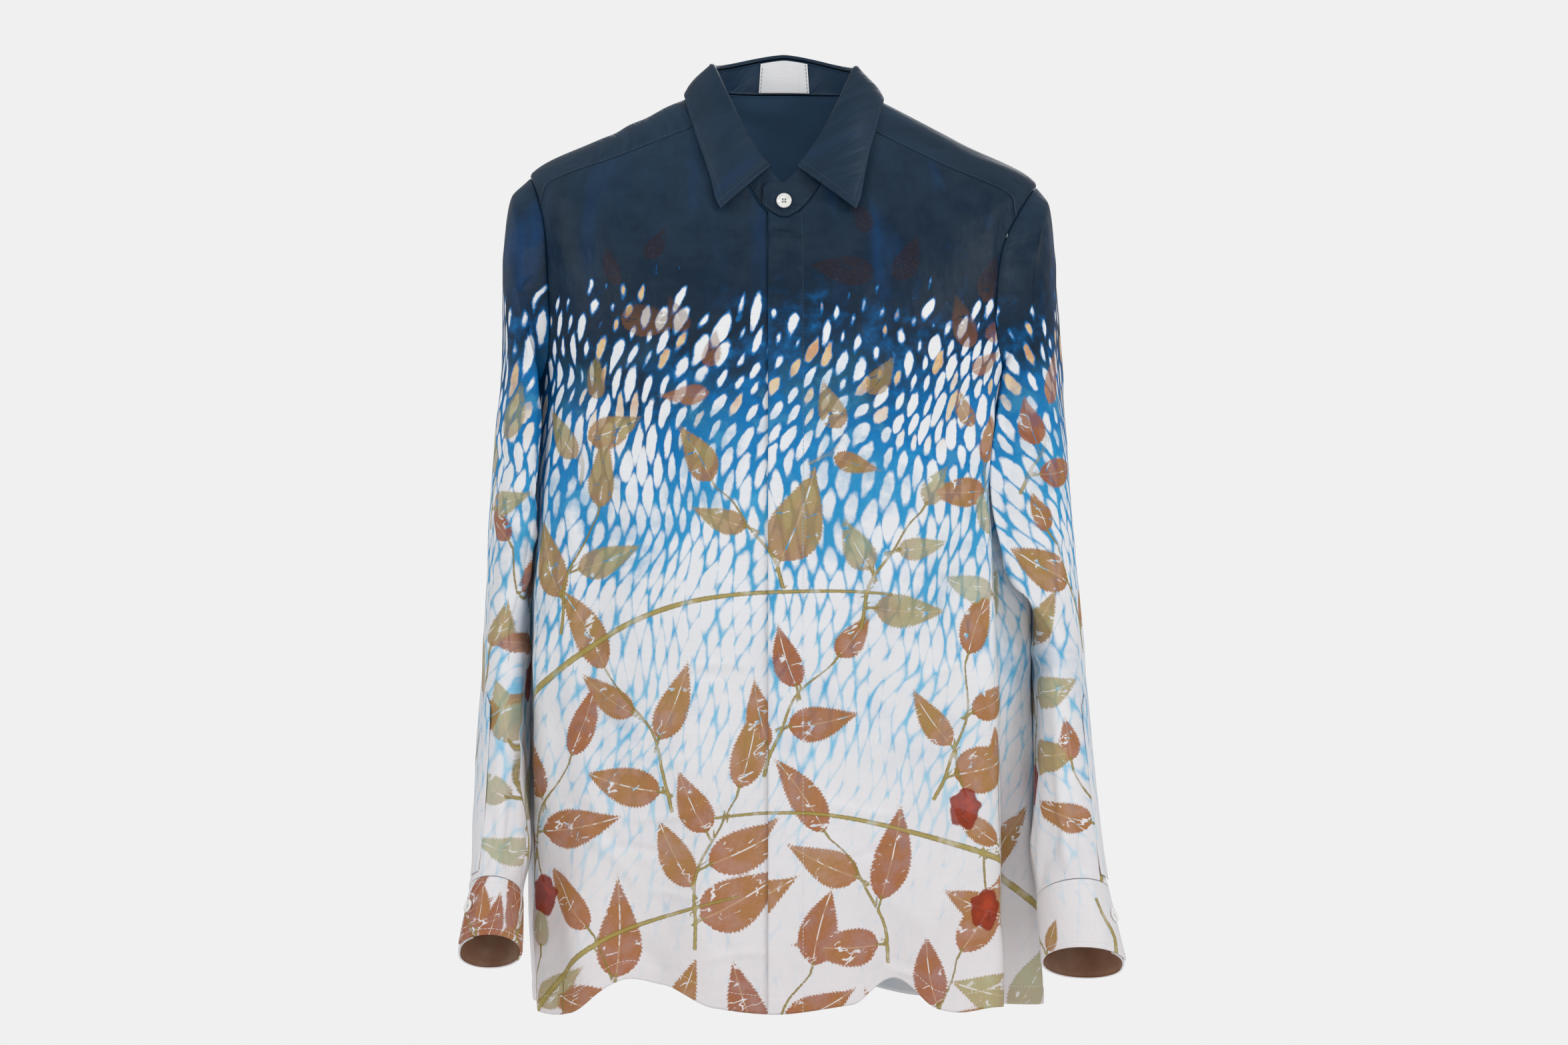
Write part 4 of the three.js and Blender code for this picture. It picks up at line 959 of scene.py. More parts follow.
# Soft troughs and ridges: the two ends on the cloth, how far the line bows, its height and half width,
# millimetres
CREASE_COLUMNS = "u0 v0 u1 v1 bow height width"
FRONT_CREASES = columns(CREASE_COLUMNS, [
    [-12, -116, 14, -121, 3, -1.6, 4],
    [-11, -126, 15, -129, -2, 1.5, 4],
    [-12, -136, 13, -141, 3, -1.3, 4.5],
    [-9, -148, 15, -152, -2, 1.2, 5],
    [-12, -163, 12, -168, 3, -1.0, 5],
    [-10, -184, 14, -188, 2, -0.7, 6],
    [20, -150, 78, -196, 5, 1.1, 9],
    [24, -172, 96, -236, 7, -1.2, 11],
    [-22, -146, -70, -188, -5, 1.0, 9],
    [-30, -180, -96, -250, -6, -1.0, 11],
    [-196, -236, -120, -300, 9, -1.8, 10],
    [-202, -262, -132, -338, 8, 1.4, 9],
    [-188, -300, -128, -392, 10, -1.3, 12],
    [-206, -322, -170, -420, 6, 1.3, 9],
    [194, -236, 128, -290, -8, -1.6, 10],
    [196, -268, 120, -352, -9, 1.3, 10],
    [178, -330, 132, -430, -6, -1.2, 12],
    [-87, -482, -29, -479, 4, 0.9, 3.5],
    [-96, -492, -44, -488, 4, -0.8, 4],
    [-135, -568, -74, -548, -4, 0.9, 3.5],
    [-190, -588, -138, -632, 6, -1.1, 6],
    [-176, -612, -120, -664, 6, 1.0, 6],
    [-60, -540, -18, -590, 5, -0.8, 8],
    [40, -430, 64, -520, 4, -0.8, 10],
    [78, -392, 102, -500, 5, 0.9, 11],
    [24, -610, 86, -640, 6, -0.9, 8],
    [60, -662, 128, -700, 5, 0.9, 8],
    [-150, -700, -92, -742, 6, -1.0, 8],
    [-58, -700, -20, -760, 4, -0.9, 9],
    [110, -560, 146, -640, 5, -1.0, 10],
    [150, -640, 118, -720, -5, 0.9, 9],
    [-120, -430, -104, -520, -4, 0.8, 10],
    [-40, -300, -16, -380, 3, -0.7, 12],
    [100, -210, 150, -236, 5, -0.9, 9],
    [-104, -204, -150, -232, -5, -0.9, 9],
    [-128, -604, -44, -586, -6, 1.1, 3.2],
    [-150, -628, -84, -640, 5, -1.0, 3.4],
    [-118, -664, -56, -676, 4, 0.9, 3.2],
    [28, -586, 92, -600, -4, 1.0, 3.2],
    [44, -640, 118, -628, 5, -0.9, 3.4],
    [70, -716, 136, -734, -5, 1.0, 3.4],
    [-176, -520, -124, -536, 4, -0.9, 3.4],
    [110, -486, 160, -470, -4, 0.9, 3.4],
    [-70, -722, -8, -712, 4, 0.9, 3.2],
])
RIPPLES = columns("across up phase height", [
    [71, 610, 0.4, 0.55],
    [113, 420, 1.9, 0.60],
    [47, 350, 3.1, 0.28],
    [158, 230, 4.4, 0.50],
    [36, 190, 5.2, 0.16],
    [260, 140, 2.6, 0.40],
])


def relief(u, v, creases):
    """The height of the small forms in millimetres: each crease is a bowed line with a rounded profile that
    fades at its ends, and long shallow ripples run mostly up and down the cloth."""
    total = np.zeros(u.shape)
    for u0, v0, u1, v1, bow, height, width in zip(*creases.values()):
        length = np.hypot(u1 - u0, v1 - v0)
        du, dv = (u1 - u0) / length, (v1 - v0) / length
        along = ((u - u0) * du + (v - v0) * dv) / length
        across = (v - v0) * du - (u - u0) * dv - bow * 4 * along * (1 - along)
        fade = soft((along + 0.15) / 0.45) * soft((1.15 - along) / 0.45)
        total += 1.6 * height * fade * np.exp(-((across / width) ** 2)) * (1 + 0.5 * across / width)
    for across, up, phase, height in zip(*RIPPLES.values()):
        total += height * np.sin(2 * np.pi * u / across + 2.2 * np.sin(2 * np.pi * v / up + phase))
    return total


def edge_distances(points):
    """How far each point is from the first and last column and the first and last row, along the grid's
    lines."""
    across = np.linalg.norm(np.diff(points, axis=1), axis=-1)
    along = np.linalg.norm(np.diff(points, axis=0), axis=-1)
    from_first = np.concatenate([np.zeros((len(points), 1)), np.cumsum(across, 1)], 1)
    from_low = np.concatenate([np.zeros((1, points.shape[1])), np.cumsum(along, 0)], 0)
    return {
        "first": from_first,
        "last": from_first[:, -1:] - from_first,
        "low": from_low,
        "high": from_low[-1:] - from_low,
    }


def shares_with_fine_ends(count, fine=(0.25, 0.6)):
    """Even shares from 0 to 1 with a few closer ones at both ends, where seams are rounded."""
    ends = np.array(fine) / count
    return np.sort(np.concatenate([np.linspace(0, 1, count + 1), ends, 1 - ends]))


MID_SECTION = {name: np.interp(0.4, BODY["level"], column) for name, column in BODY.items()}
MID_ANGLES = np.linspace(-200, 400, 4801)
MID_PATH = section_point(MID_SECTION, MID_ANGLES)[:, :2]
MID_LENGTHS = np.concatenate([[0], np.cumsum(np.linalg.norm(np.diff(MID_PATH, axis=0), axis=1))])


def even_angle(start, end, share):
    """The angle at a share of the way round from start to end, measured along the middle section's
    outline."""
    first = np.interp(start, MID_ANGLES, MID_LENGTHS)
    last = np.interp(end, MID_ANGLES, MID_LENGTHS)
    return np.interp(first + (last - first) * share, MID_LENGTHS, MID_ANGLES)


def angle_at_x(section, x):
    """The angle at which a section reaches x to one side of the centre front."""
    reach = np.where(x >= 0, section["right"], section["left"])
    return np.sign(x) * np.degrees(np.arcsin((np.abs(x) / reach) ** (section["square"] / 2)))


def seam_dip(distance, depth=0.45, width=1.3):
    """How far an edge dips at a seam."""
    return -depth * np.exp(-((distance / width) ** 2))


def hem_fold(distance):
    """How the hem, turned up inside and stitched, stands out at a distance from the edge."""
    return 0.5 * soft((HEM_STITCH + 3 - distance) / 5) + seam_dip(distance - HEM_STITCH, 0.5, 1.6)


def torso_edge(count):
    """Levels of the side seam from the hem to the underarm."""
    underarm = float(armhole_place(np.array(180.0), 1, GROWN)[1])
    return np.linspace(0, underarm, count)[:-1]


def front_grid(side):
    """Angles and levels of a front. The outer edge runs up the side seam, round the armhole and along the
    yoke; the inner one up the centre. Between them each row passes softly from the one's level to the
    other's."""
    torso = torso_edge(200 // COARSE)
    share = np.linspace(0, 1, 76 // COARSE)[:-1] ** ARMHOLE_CROWDING
    turns = 180 + (YOKE_FRONT_TURN - 180) * share
    arm_angle, arm_level = armhole_place(turns, side, GROWN)
    corner_angle, corner_level = armhole_place(np.array(float(YOKE_FRONT_TURN)), side, GROWN)
    up = shares_with_fine_ends(60 // COARSE)
    seam_level = corner_level + (1 - corner_level) * up
    seam_angle = corner_angle + (side * YOKE_NECK_ANGLE - corner_angle) * up
    edge_angle = np.concatenate([np.full(torso.shape, side * 90.0), arm_angle, seam_angle])
    edge_level = np.concatenate([torso, arm_level, seam_level])
    knots = np.array([0, len(torso), len(torso) + len(turns), len(edge_level) - 1])
    centre_level = np.interp(np.arange(len(edge_level)), knots, FRONT_CENTRE_LEVELS)
    section = smooth(BODY, "level", centre_level)
    edge_x = -OVER_EDGE if side > 0 else UNDER_EDGE
    centre_angle = angle_at_x(section, np.full(centre_level.shape, edge_x, float))
    across = shares_with_fine_ends(104 // COARSE)
    blend = soft((across - 0.12) / 0.88)
    level = centre_level[:, None] + (edge_level - centre_level)[:, None] * blend[None]
    angle = even_angle(centre_angle[:, None], edge_angle[:, None], across[None])
    arm_rows = slice(len(torso), len(torso) + len(turns) + 1)
    return angle, level, arm_rows, np.append(turns, YOKE_FRONT_TURN)


def nearest_edge(near, names):
    """The distance to the nearest of the named edges."""
    return np.minimum.reduce([near[name] for name in names.split()])


def cloth_place(points, zero_column, zero):
    """The place on the cloth: millimetres across, measured level along each row from a column, and the
    height."""
    level_step = np.linalg.norm(np.diff(points[..., :2], axis=1), axis=-1)
    across = np.concatenate([np.zeros((len(points), 1)), np.cumsum(level_step, 1)], 1)
    return across - across[:, zero_column][:, None] + zero, points[..., 2]


def under_step(x, step):
    """How far the under side steps in at a distance across the front: fully near the centre, softly to
    nothing."""
    return -step * soft((x - UNDER_FADE_NONE) / (UNDER_FADE_FULL - UNDER_FADE_NONE))


def cloth_piece(node, points, fields, thickness, material, slot, inside=None, ending="silk", **grid):
    """A node's cloth over a grid of points on its outer face, with its thickness inwards and its finish.
    Inside is the finish of its inner face, where that is another one."""
    piece = mesh_from_grid(f"{node}_{ending}", points * MM, fields, **grid)
    wall = piece.modifiers.new("wall", "SOLIDIFY")
    wall.thickness = thickness * MM
    wall.offset = -1
    piece.data.materials.append(material)
    if inside is not None:
        piece.data.materials.append(inside)
        wall.material_offset = 1
    join_root(piece, node)
    return piece


def front_panel(side):
    """One front: the body's form with its creases, the placket strip's stitched edge, the hem and dipped
    seams."""
    angle, level, arm_rows, arm_turns = front_grid(side)
    points = body_point(angle, level)
    normals = surface_normal(body_point, angle, level)
    normals[arm_rows, -1] = armhole_normal(side, arm_turns)
    if side < 0:
        points = points + normals * under_step(points[..., 0], UNDER_DEPTH)[..., None]
    near = edge_distances(points)
    u, v = cloth_place(points, 0, -OVER_EDGE if side > 0 else UNDER_EDGE)
    u = u if side > 0 else 2 * UNDER_EDGE - u
    quiet = soft(near["last"] / 14) * soft(near["high"] / 12)
    height = relief(u, v, FRONT_CREASES) * quiet
    height += seam_dip(near["last"]) + seam_dip(near["high"], 0.6)
    height += hem_fold(near["low"])
    if side > 0:
        height += seam_dip(near["first"], 0.8, 0.9)
        height += seam_dip(near["first"] - PLACKET_STITCH, 0.55, 1.6)
        height += 0.55 * soft((PLACKET_STITCH - near["first"]) / 4)
    points = points + normals * height[..., None]
    fields = printed_fields(u, v, FRONT_SPRIGS, 1 if side > 0 else 2)
    node = f"front_{SIDE_NAME[side]}"
    piece = cloth_piece(node, points, fields, CLOTH_THICK, SILK, "printed_silk", REVERSE, flip=side < 0)
    return points, normals


def stitch_line(points, normals, edge, distance):
    """The line at a distance from one edge of a grid, with its normals: each row or column is cut at that
    distance."""
    near = edge_distances(points)[edge]
    if edge in ("low", "high"):
        points, normals, near = points.transpose(1, 0, 2), normals.transpose(1, 0, 2), near.T
    if edge in ("last", "high"):
        points, normals, near = points[:, ::-1], normals[:, ::-1], near[:, ::-1]
    index = np.clip((near < distance).sum(1) - 1, 0, near.shape[1] - 2)
    row = np.arange(len(points))
    low, high = near[row, index], near[row, index + 1]
    share = np.clip((distance - low) / np.maximum(high - low, 1e-9), 0, 1)[:, None]
    line = points[row, index] * (1 - share) + points[row, index + 1] * share
    facing = unit(normals[row, index] * (1 - share) + normals[row, index + 1] * share)
    return line, facing


STITCH_LENGTH = 2.3
STITCH_GAP = 0.9
STITCH_RADIUS = 0.24
STITCH_RINGS = np.array([[-0.5, 0.25], [-0.3, 0.9], [0.3, 0.9], [0.5, 0.25]])
STITCH_SIDES = 5


def stitches(lines, lift=0.12):
    """Points and faces of stitches along lines: each stitch is a short spindle of four rings, laid on the
    cloth."""
    all_points, all_faces = [], []
    offset = 0
    for line, facing in lines:
        lengths = np.concatenate([[0], np.cumsum(np.linalg.norm(np.diff(line, axis=0), axis=1))])
        count = int(lengths[-1] / (STITCH_LENGTH + STITCH_GAP))
        middle = (np.arange(count) + 0.5) * (STITCH_LENGTH + STITCH_GAP)

        def on_line(values, place):
            return np.stack([np.interp(place, lengths, values[:, k]) for k in range(3)], -1)

        centre = on_line(line, middle)
        ahead = unit(on_line(line, middle + 0.6) - on_line(line, middle - 0.6))
        up = unit(on_line(facing, middle))
        across = unit(np.cross(ahead, up))
        spin = np.arange(STITCH_SIDES) * 2 * np.pi / STITCH_SIDES
        ring, side = np.meshgrid(np.arange(len(STITCH_RINGS)), spin, indexing="ij")
        push = STITCH_RINGS[ring.ravel(), 0] * STITCH_LENGTH
        radius = STITCH_RINGS[ring.ravel(), 1] * STITCH_RADIUS
        local = (ahead[:, None] * push[None, :, None]
                 + across[:, None] * (radius * np.cos(side.ravel()))[None, :, None]
                 + up[:, None] * (radius * np.sin(side.ravel()) + lift)[None, :, None])
        all_points.append((centre[:, None] + local).reshape(-1, 3))
        per = len(STITCH_RINGS) * STITCH_SIDES
        for r in range(len(STITCH_RINGS) - 1):
            for k in range(STITCH_SIDES):
                n = (k + 1) % STITCH_SIDES
                quad = np.array([r * STITCH_SIDES + k, r * STITCH_SIDES + n,
                                 (r + 1) * STITCH_SIDES + n, (r + 1) * STITCH_SIDES + k])
                all_faces.append(offset + np.arange(count)[:, None] * per + quad[None])
        offset += count * per
    return np.concatenate(all_points), np.concatenate(all_faces)


def thread_material():
    """Sewing thread dyed with the cloth: it takes the dye a little paler than the silk, and is twisted."""
    m = Nodes("thread")
    _, _, z = m.split(m.place())
    height = m.plus(z, 0.80)
    colour = m.ramp(height, [
        (0.05, "f2eff0"), (0.35, "e2ecf3"), (0.48, "8fc0e2"), (0.60, "2c4660"), (1.0, "384d61"),
    ])
    twist = m.noise(m.place(), 2200.0, 1.0)
    return m.finish(colour, 0.55, m.bump(twist, 0.0001, 0.4), Sheen_Weight=0.2)


THREAD = thread_material()


def stitch_piece(name, lines):
    points, faces = stitches(lines)
    piece = mesh_piece(name, points * MM, faces.tolist())
    piece.data.materials.append(THREAD)
    join_root(piece)


over_front = front_panel(1)
under_front = front_panel(-1)
stitch_piece("front_stitching", [
    stitch_line(*over_front, "first", PLACKET_STITCH),
    stitch_line(*over_front, "low", HEM_STITCH),
    stitch_line(*under_front, "low", HEM_STITCH),
])


# The back
# One piece of the same silk from side seam to side seam, below the yoke, with long soft folds.

BACK_CREASES = columns(CREASE_COLUMNS, [
    [-30, -150, -58, -250, 6, -1.2, 14],
    [26, -150, 52, -270, -6, -1.1, 14],
    [-190, -240, -120, -310, 8, -1.6, 11],
    [-196, -280, -128, -370, 8, 1.3, 10],
    [188, -236, 122, -300, -8, -1.6, 11],
    [194, -282, 120, -362, -8, 1.3, 10],
    [-80, -330, -52, -450, 6, -1.0, 13],
    [70, -340, 96, -470, -6, 1.0, 13],
    [-20, -420, 16, -540, 5, -0.9, 12],
    [-150, -480, -112, -590, 6, 1.0, 11],
    [140, -500, 110, -610, -5, -1.0, 11],
    [-88, -600, -20, -640, 6, -1.0, 9],
    [26, -590, 84, -640, 5, 0.9, 9],
    [-40, -700, 30, -716, 4, -0.8, 8],
    [120, -670, 168, -720, 5, -1.0, 9],
    [-176, -660, -120, -724, 5, 0.9, 9],
    [60, -210, 130, -230, 5, -0.9, 10],
    [-64, -206, -136, -226, 5, -0.9, 10],
])


def back_panel():
    """The back: rows pass softly from the levels of the side seams and armholes to those of the centre
    back."""
    torso = torso_edge(176 // COARSE)
    share = np.linspace(0, 1, 64 // COARSE) ** ARMHOLE_CROWDING
    turns = 180 + (180 + YOKE_BACK_TURN) * share
    arm_angle, arm_level = armhole_place(turns, 1, GROWN)
    edge_angle = np.concatenate([np.full(torso.shape, 90.0), arm_angle])
    edge_level = np.concatenate([torso, arm_level])
    knots = [0, len(torso), len(edge_level) - 1]
    centre_level = np.interp(np.arange(len(edge_level)), knots, [0, BACK_CENTRE_LEVEL, edge_level[-1]])
    across = shares_with_fine_ends(170 // COARSE)
    blend = soft((np.abs(2 * across - 1) - 0.06) / 0.94)
    level = centre_level[:, None] + (edge_level - centre_level)[:, None] * blend[None]
    angle = even_angle(edge_angle[:, None], 360 - edge_angle[:, None], across[None])
    points = body_point(angle, level)
    normals = surface_normal(body_point, angle, level)
    arm_rows = slice(len(torso), len(edge_level))
    normals[arm_rows, 0] = armhole_normal(1, turns)
    normals[arm_rows, -1] = armhole_normal(-1, turns)
    near = edge_distances(points)
    u, v = cloth_place(points, len(across) // 2, 0)
    quiet = soft(near["first"] / 14) * soft(near["last"] / 14) * soft(near["high"] / 12)
    height = relief(u + 31, v, BACK_CREASES) * quiet
    height += seam_dip(near["first"]) + seam_dip(near["last"]) + seam_dip(near["high"], 0.6)
    height += hem_fold(near["low"])
    points = points + normals * height[..., None]
    fields = printed_fields(u, v, BACK_SPRIGS, 3)
    piece = cloth_piece("back", points, fields, CLOTH_THICK, SILK, "printed_silk", REVERSE)
    return points, normals


back = back_panel()
stitch_piece("back_stitching", [stitch_line(*back, "low", HEM_STITCH)])


# The yoke
# A doubled band of silk over both shoulders, from the front seams over to the back seam, topstitched 2 mm
# from them.

YOKE_STITCH = 2.4
YOKE_ROWS = 84 // COARSE


def yoke_panel():
    """The yoke: its lower edge follows one armhole, the back seam and the other armhole, and each line runs
    from there straight up to the neckline in angle and level."""
    turns = np.linspace(YOKE_FRONT_TURN, YOKE_BACK_TURN, YOKE_ROWS)
    angle, level = armhole_place(turns, 1, GROWN)
    across = even_angle(angle[-1], 360 - angle[-1], np.linspace(0, 1, 120 // COARSE))[1:-1]
    other = armhole_place(turns, -1, GROWN)
    low_angle = np.concatenate([angle, across, 360 + other[0][::-1]])
    low_level = np.concatenate([level, np.full(across.shape, level[-1]), level[::-1]])
    span = low_angle[-1] - low_angle[0]
    neck_angle = YOKE_NECK_ANGLE + (360 - 2 * YOKE_NECK_ANGLE) * (low_angle - low_angle[0]) / span
    share = shares_with_fine_ends(62 // COARSE)[:, None]
    grid_angle = low_angle + (neck_angle - low_angle) * share
    grid_level = low_level + (1 - low_level) * share
    points = body_point(grid_angle, grid_level)
    normals = surface_normal(body_point, grid_angle, grid_level)
    normals[0, :len(turns)] = armhole_normal(1, turns)
    normals[0, -len(turns):] = armhole_normal(-1, turns[::-1])
    near = edge_distances(points)
    from_edge = nearest_edge(near, "first last low")
    height = 0.3 * soft(from_edge / 3) * soft((7 - from_edge) / 4) + seam_dip(near["high"], 0.4)
    height += seam_dip(from_edge - YOKE_STITCH, 0.3, 0.7) + seam_dip(from_edge, 0.7, 0.8)
    u, v = cloth_place(points, 0, 0)
    height += 0.5 * np.sin(u / 17 + 1.3 * np.sin(v / 23)) * soft(from_edge / 20) * soft(near["high"] / 20)
    points = points + normals * height[..., None]
    fields = printed_fields(u + PRINT_START["yoke"], np.maximum(v, -100), NO_SPRIGS, 4)
    piece = cloth_piece("yoke", points, fields, CLOTH_THICK, PLAIN_SILK, "printed_silk", REVERSE)
    return points, normals


yoke = yoke_panel()
yoke_back = [part[:, YOKE_ROWS:-YOKE_ROWS] for part in yoke]
stitch_piece("yoke_stitching", [
    stitch_line(*yoke, "first", YOKE_STITCH),
    stitch_line(*yoke, "last", YOKE_STITCH),
    stitch_line(*yoke_back, "low", YOKE_STITCH),
])


# The sleeves
# A tube of silk sewn up under the arm, set into the armhole, pleated into the cuff.

SLEEVE_CREASES = {
    1: columns(CREASE_COLUMNS, [
        [30, -330, 92, -372, 5, -1.6, 7],
        [24, -372, 96, -402, 6, 1.5, 7],
        [34, -420, 104, -436, 5, -1.8, 8],
        [20, -452, 98, -470, -5, 1.6, 8],
        [36, -486, 100, -492, 5, -1.4, 7],
        [60, -240, 96, -320, 5, 1.2, 8],
        [40, -210, 70, -290, 5, -1.2, 9],
        [70, -560, 96, -650, 4, 1.2, 6],
        [52, -600, 66, -662, 3, -1.4, 5],
        [30, -588, 40, -660, 3, 1.2, 6],
        [84, -610, 88, -664, -3, -1.3, 5],
        [-30, -300, -60, -400, 6, -1.2, 12],
        [-70, -420, -20, -452, 6, -1.5, 9],
        [-80, -466, -24, -500, 6, 1.4, 9],
        [-50, -600, -44, -664, 3, -1.4, 6],
        [-90, -590, -76, -660, 3, 1.2, 6],
        [-20, -560, -14, -650, 3, -1.1, 7],
        [100, -180, 124, -250, 4, -1.0, 8],
    ]),
    -1: columns(CREASE_COLUMNS, [
        [34, -300, 96, -350, 5, -1.6, 8],
        [28, -356, 104, -386, 5, 1.4, 8],
        [22, -410, 98, -432, 6, -1.7, 8],
        [30, -458, 96, -470, -4, 1.3, 7],
        [44, -520, 100, -560, 4, -1.3, 8],
        [66, -600, 78, -662, 3, -1.3, 5],
        [92, -590, 96, -662, 3, 1.2, 6],
        [46, -612, 52, -664, -3, 1.1, 5],
        [-36, -310, -64, -410, 6, -1.2, 12],
        [-74, -430, -22, -462, 6, -1.5, 9],
        [-70, -480, -26, -512, 6, 1.4, 9],
        [-56, -600, -50, -664, 3, -1.4, 6],
        [-96, -596, -84, -660, 3, 1.2, 6],
        [104, -186, 120, -262, 4, -1.0, 8],
        [60, -220, 84, -300, 4, 1.0, 8],
    ]),
}

# How far each sleeve's inner side leans in to the body below the armhole, in millimetres
LEAN_IN = {1: 7.0, -1: 11.0}

SLEEVE_TIP_ROUND = 20
SLEEVE_PRINT_TOP = -150
SLEEVE_PRINT_PACE = 1.6


def sleeve_turns(side, count):
    """Turns that divide a middle section evenly, from the seam under the arm round and back to it."""
    fine = np.linspace(-180, 180, 2001)
    ring = sleeve_point(side, fine, np.full(fine.shape, 0.4))
    lengths = np.concatenate([[0], np.cumsum(np.linalg.norm(np.diff(ring, axis=0), axis=1))])
    return np.interp(np.linspace(0, lengths[-1], count + 1), lengths, fine)


def sleeve_cloth_place(points, turns, side, middle):
    """The place on a sleeve's cloth: how far forwards of the outer line a point lies at its height, with the
    way in towards the body added. Near the sleeve's front and back tips only the way in counts, and on the
    inner side the way back is added. The height follows, drawn out on top."""
    z = points[..., 2]
    outer = points[::-1, middle]
    outer_x = np.interp(z, outer[:, 2], side * outer[:, 0])
    outer_y = np.interp(z, outer[:, 2], outer[:, 1])
    forward = -points[..., 1]
    for hand, beyond in ((1, turns > 90), (-1, turns < -90)):
        tip = points[::-1, np.searchsorted(turns, 90 * hand)]
        cap = np.interp(z, tip[:, 2], -tip[:, 1]) * hand - SLEEVE_TIP_ROUND
        reach = np.minimum(forward * hand, cap)
        reach = np.where(beyond[None], 2 * cap - reach, reach)
        forward = np.where(hand * turns[None] > 0, reach * hand, forward)
    towards_body = 2 * soft((turns + 30) / 60) - 1
    u = forward + outer_y + towards_body[None] * (outer_x - side * points[..., 0])
    above = np.maximum(0, z - SLEEVE_PRINT_TOP)
    return u, np.minimum(z, SLEEVE_PRINT_TOP) + SLEEVE_PRINT_PACE * above


def sleeve_tube(side):
    """A sleeve: the tube with its creases, which fade towards both seams, and a dip at each seam."""
    turns = sleeve_turns(side, 132 // COARSE)
    along = np.concatenate([[0, 0.0012, 0.003], np.linspace(0.006, 0.994, 200 // COARSE), [0.997, 0.9988, 1]])
    surface = partial(sleeve_point, side)
    turn_grid, along_grid = np.broadcast_arrays(turns[None], along[:, None])
    points = surface(turn_grid, along_grid)
    normals = surface_normal(surface, turn_grid, along_grid, sign=side)
    normals[0] = armhole_normal(side, turns)
    near = edge_distances(points)
    middle = len(turns) // 2
    u, v = sleeve_cloth_place(points, turns, side, middle)
    quiet = soft(near["low"] / 22) * soft(near["high"] / 8)
    seam = soft((180 - np.abs(turns)) / 12)[None]
    height = (relief(u, v, SLEEVE_CREASES[side]) * quiet) * seam
    lean_in = soft((along - 0.30) / 0.20) * soft((1.0 - along) / 0.12)
    height += LEAN_IN[side] * lean_in[:, None] * bump(np.abs(turns) - 180, 80)[None]
    height += seam_dip(near["low"]) + seam_dip(near["high"], 0.5)
    points = points + normals * height[..., None]
    points[:, -1] = points[:, 0]
    fields = printed_fields(u, v, SLEEVE_SPRIGS[side], 5 if side > 0 else 6)
    node = f"sleeve_{SIDE_NAME[side]}"
    ring = points[:, :-1]
    piece = cloth_piece(node, ring, fields, CLOTH_THICK, SILK, "printed_silk", wrap=True, flip=side < 0)
    return points, normals


for side in (1, -1):
    sleeve_tube(side)


# The cuffs and sleeve plackets
# Interlined bands of doubled silk, lapped and buttoned at the outer side of the wrist, with a pointed strip
# above the opening. Each cuff is stitched all round.


def cuff_facing_painted_shade():
    """The inner layer of the cuffs: duller silk, brownish grey in soft clouds, a painted shade for the cuff's
    shadowed inside.
    """
    m = Nodes("cuff_facing_painted_shade")
    place = m.place()
    cloud = m.noise(place, 26.0, 3.0)
    # Painted shade: this brownish grey stands in for the shadow inside the cuff.
    colour = m.ramp(cloud, [(0.3, "8a5f46"), (0.5, "a07a62"), (0.7, "b59680")])
    weave = m.noise(m.stretched(place, 0, (0.0005, 0.0005, 0.003)), 1.0, 1.0)
    return m.finish(colour, 0.6, m.bump(weave, 0.0001, 0.4), Specular_IOR_Level=0.3)


CUFF_FACING_PAINTED_SHADE = cuff_facing_painted_shade()
CUFF_THICK = 1.5
CUFFS = {
    1: {
        "top": [269, 209, -79.1, -668.3, 4, 42, 24],
        "bottom": [282, 211, -102, -722, -3, 41, 25],
        "closure": 17,
        "button": 35,
    },
    -1: {
        "top": [261, 216, -76.1, -667.3, 2, 45, 24],
        "bottom": [270, 215, -99, -713, -2, 44, 25],
        "closure": 30,
        "button": 48,
    },
}
CUFF_LAP = 34
CUFF_STEP_IN = 60
CUFF_STITCH = 5
EDGE_STITCH = 2.2
CUFF_SPRIGS = {
    1: columns(SPRIG_COLUMNS, [
        [-34, -700, 60, 8, 8, 0, 0, 0.50, 0],
        [40, -706, 40, 30, 6, 3, 30, 0.30, 0],
    ]),
    -1: columns(SPRIG_COLUMNS, [
        [-64, -694, 40, 30, 6, 6, 46, 0.00, 0],
        [-26, -706, 40, -40, 5, 6, 48, 0.06, 0],
        [14, -692, 36, 20, 5, 6, 46, 0.02, 0],
        [52, -708, 40, -20, 5, 6, 46, 0.04, 0],
        [96, -698, 36, 20, 5, 5, 40, 0.10, 0],
    ]),
}
PLACKET_FROM, PLACKET_TO = 4, 28
PLACKET_START, PLACKET_POINT, PLACKET_END = 0.70, 0.675, 0.985
PLACKET_THICK = 0.8
PLACKET_LIFT = 1.35


def cuff_surface(side, turn, down):
    """The cuff: straight lines from its top section to its bottom one."""
    names = "out in y z lean deep tilt".split()
    ends = []
    for key in ("top", "bottom"):
        section = dict(zip(names, CUFFS[side][key]))
        section.update(toe=0, square=2.1)
        ends.append(sleeve_section_point(section, side, turn))
    return ends[0] + (ends[1] - ends[0]) * down[..., None]


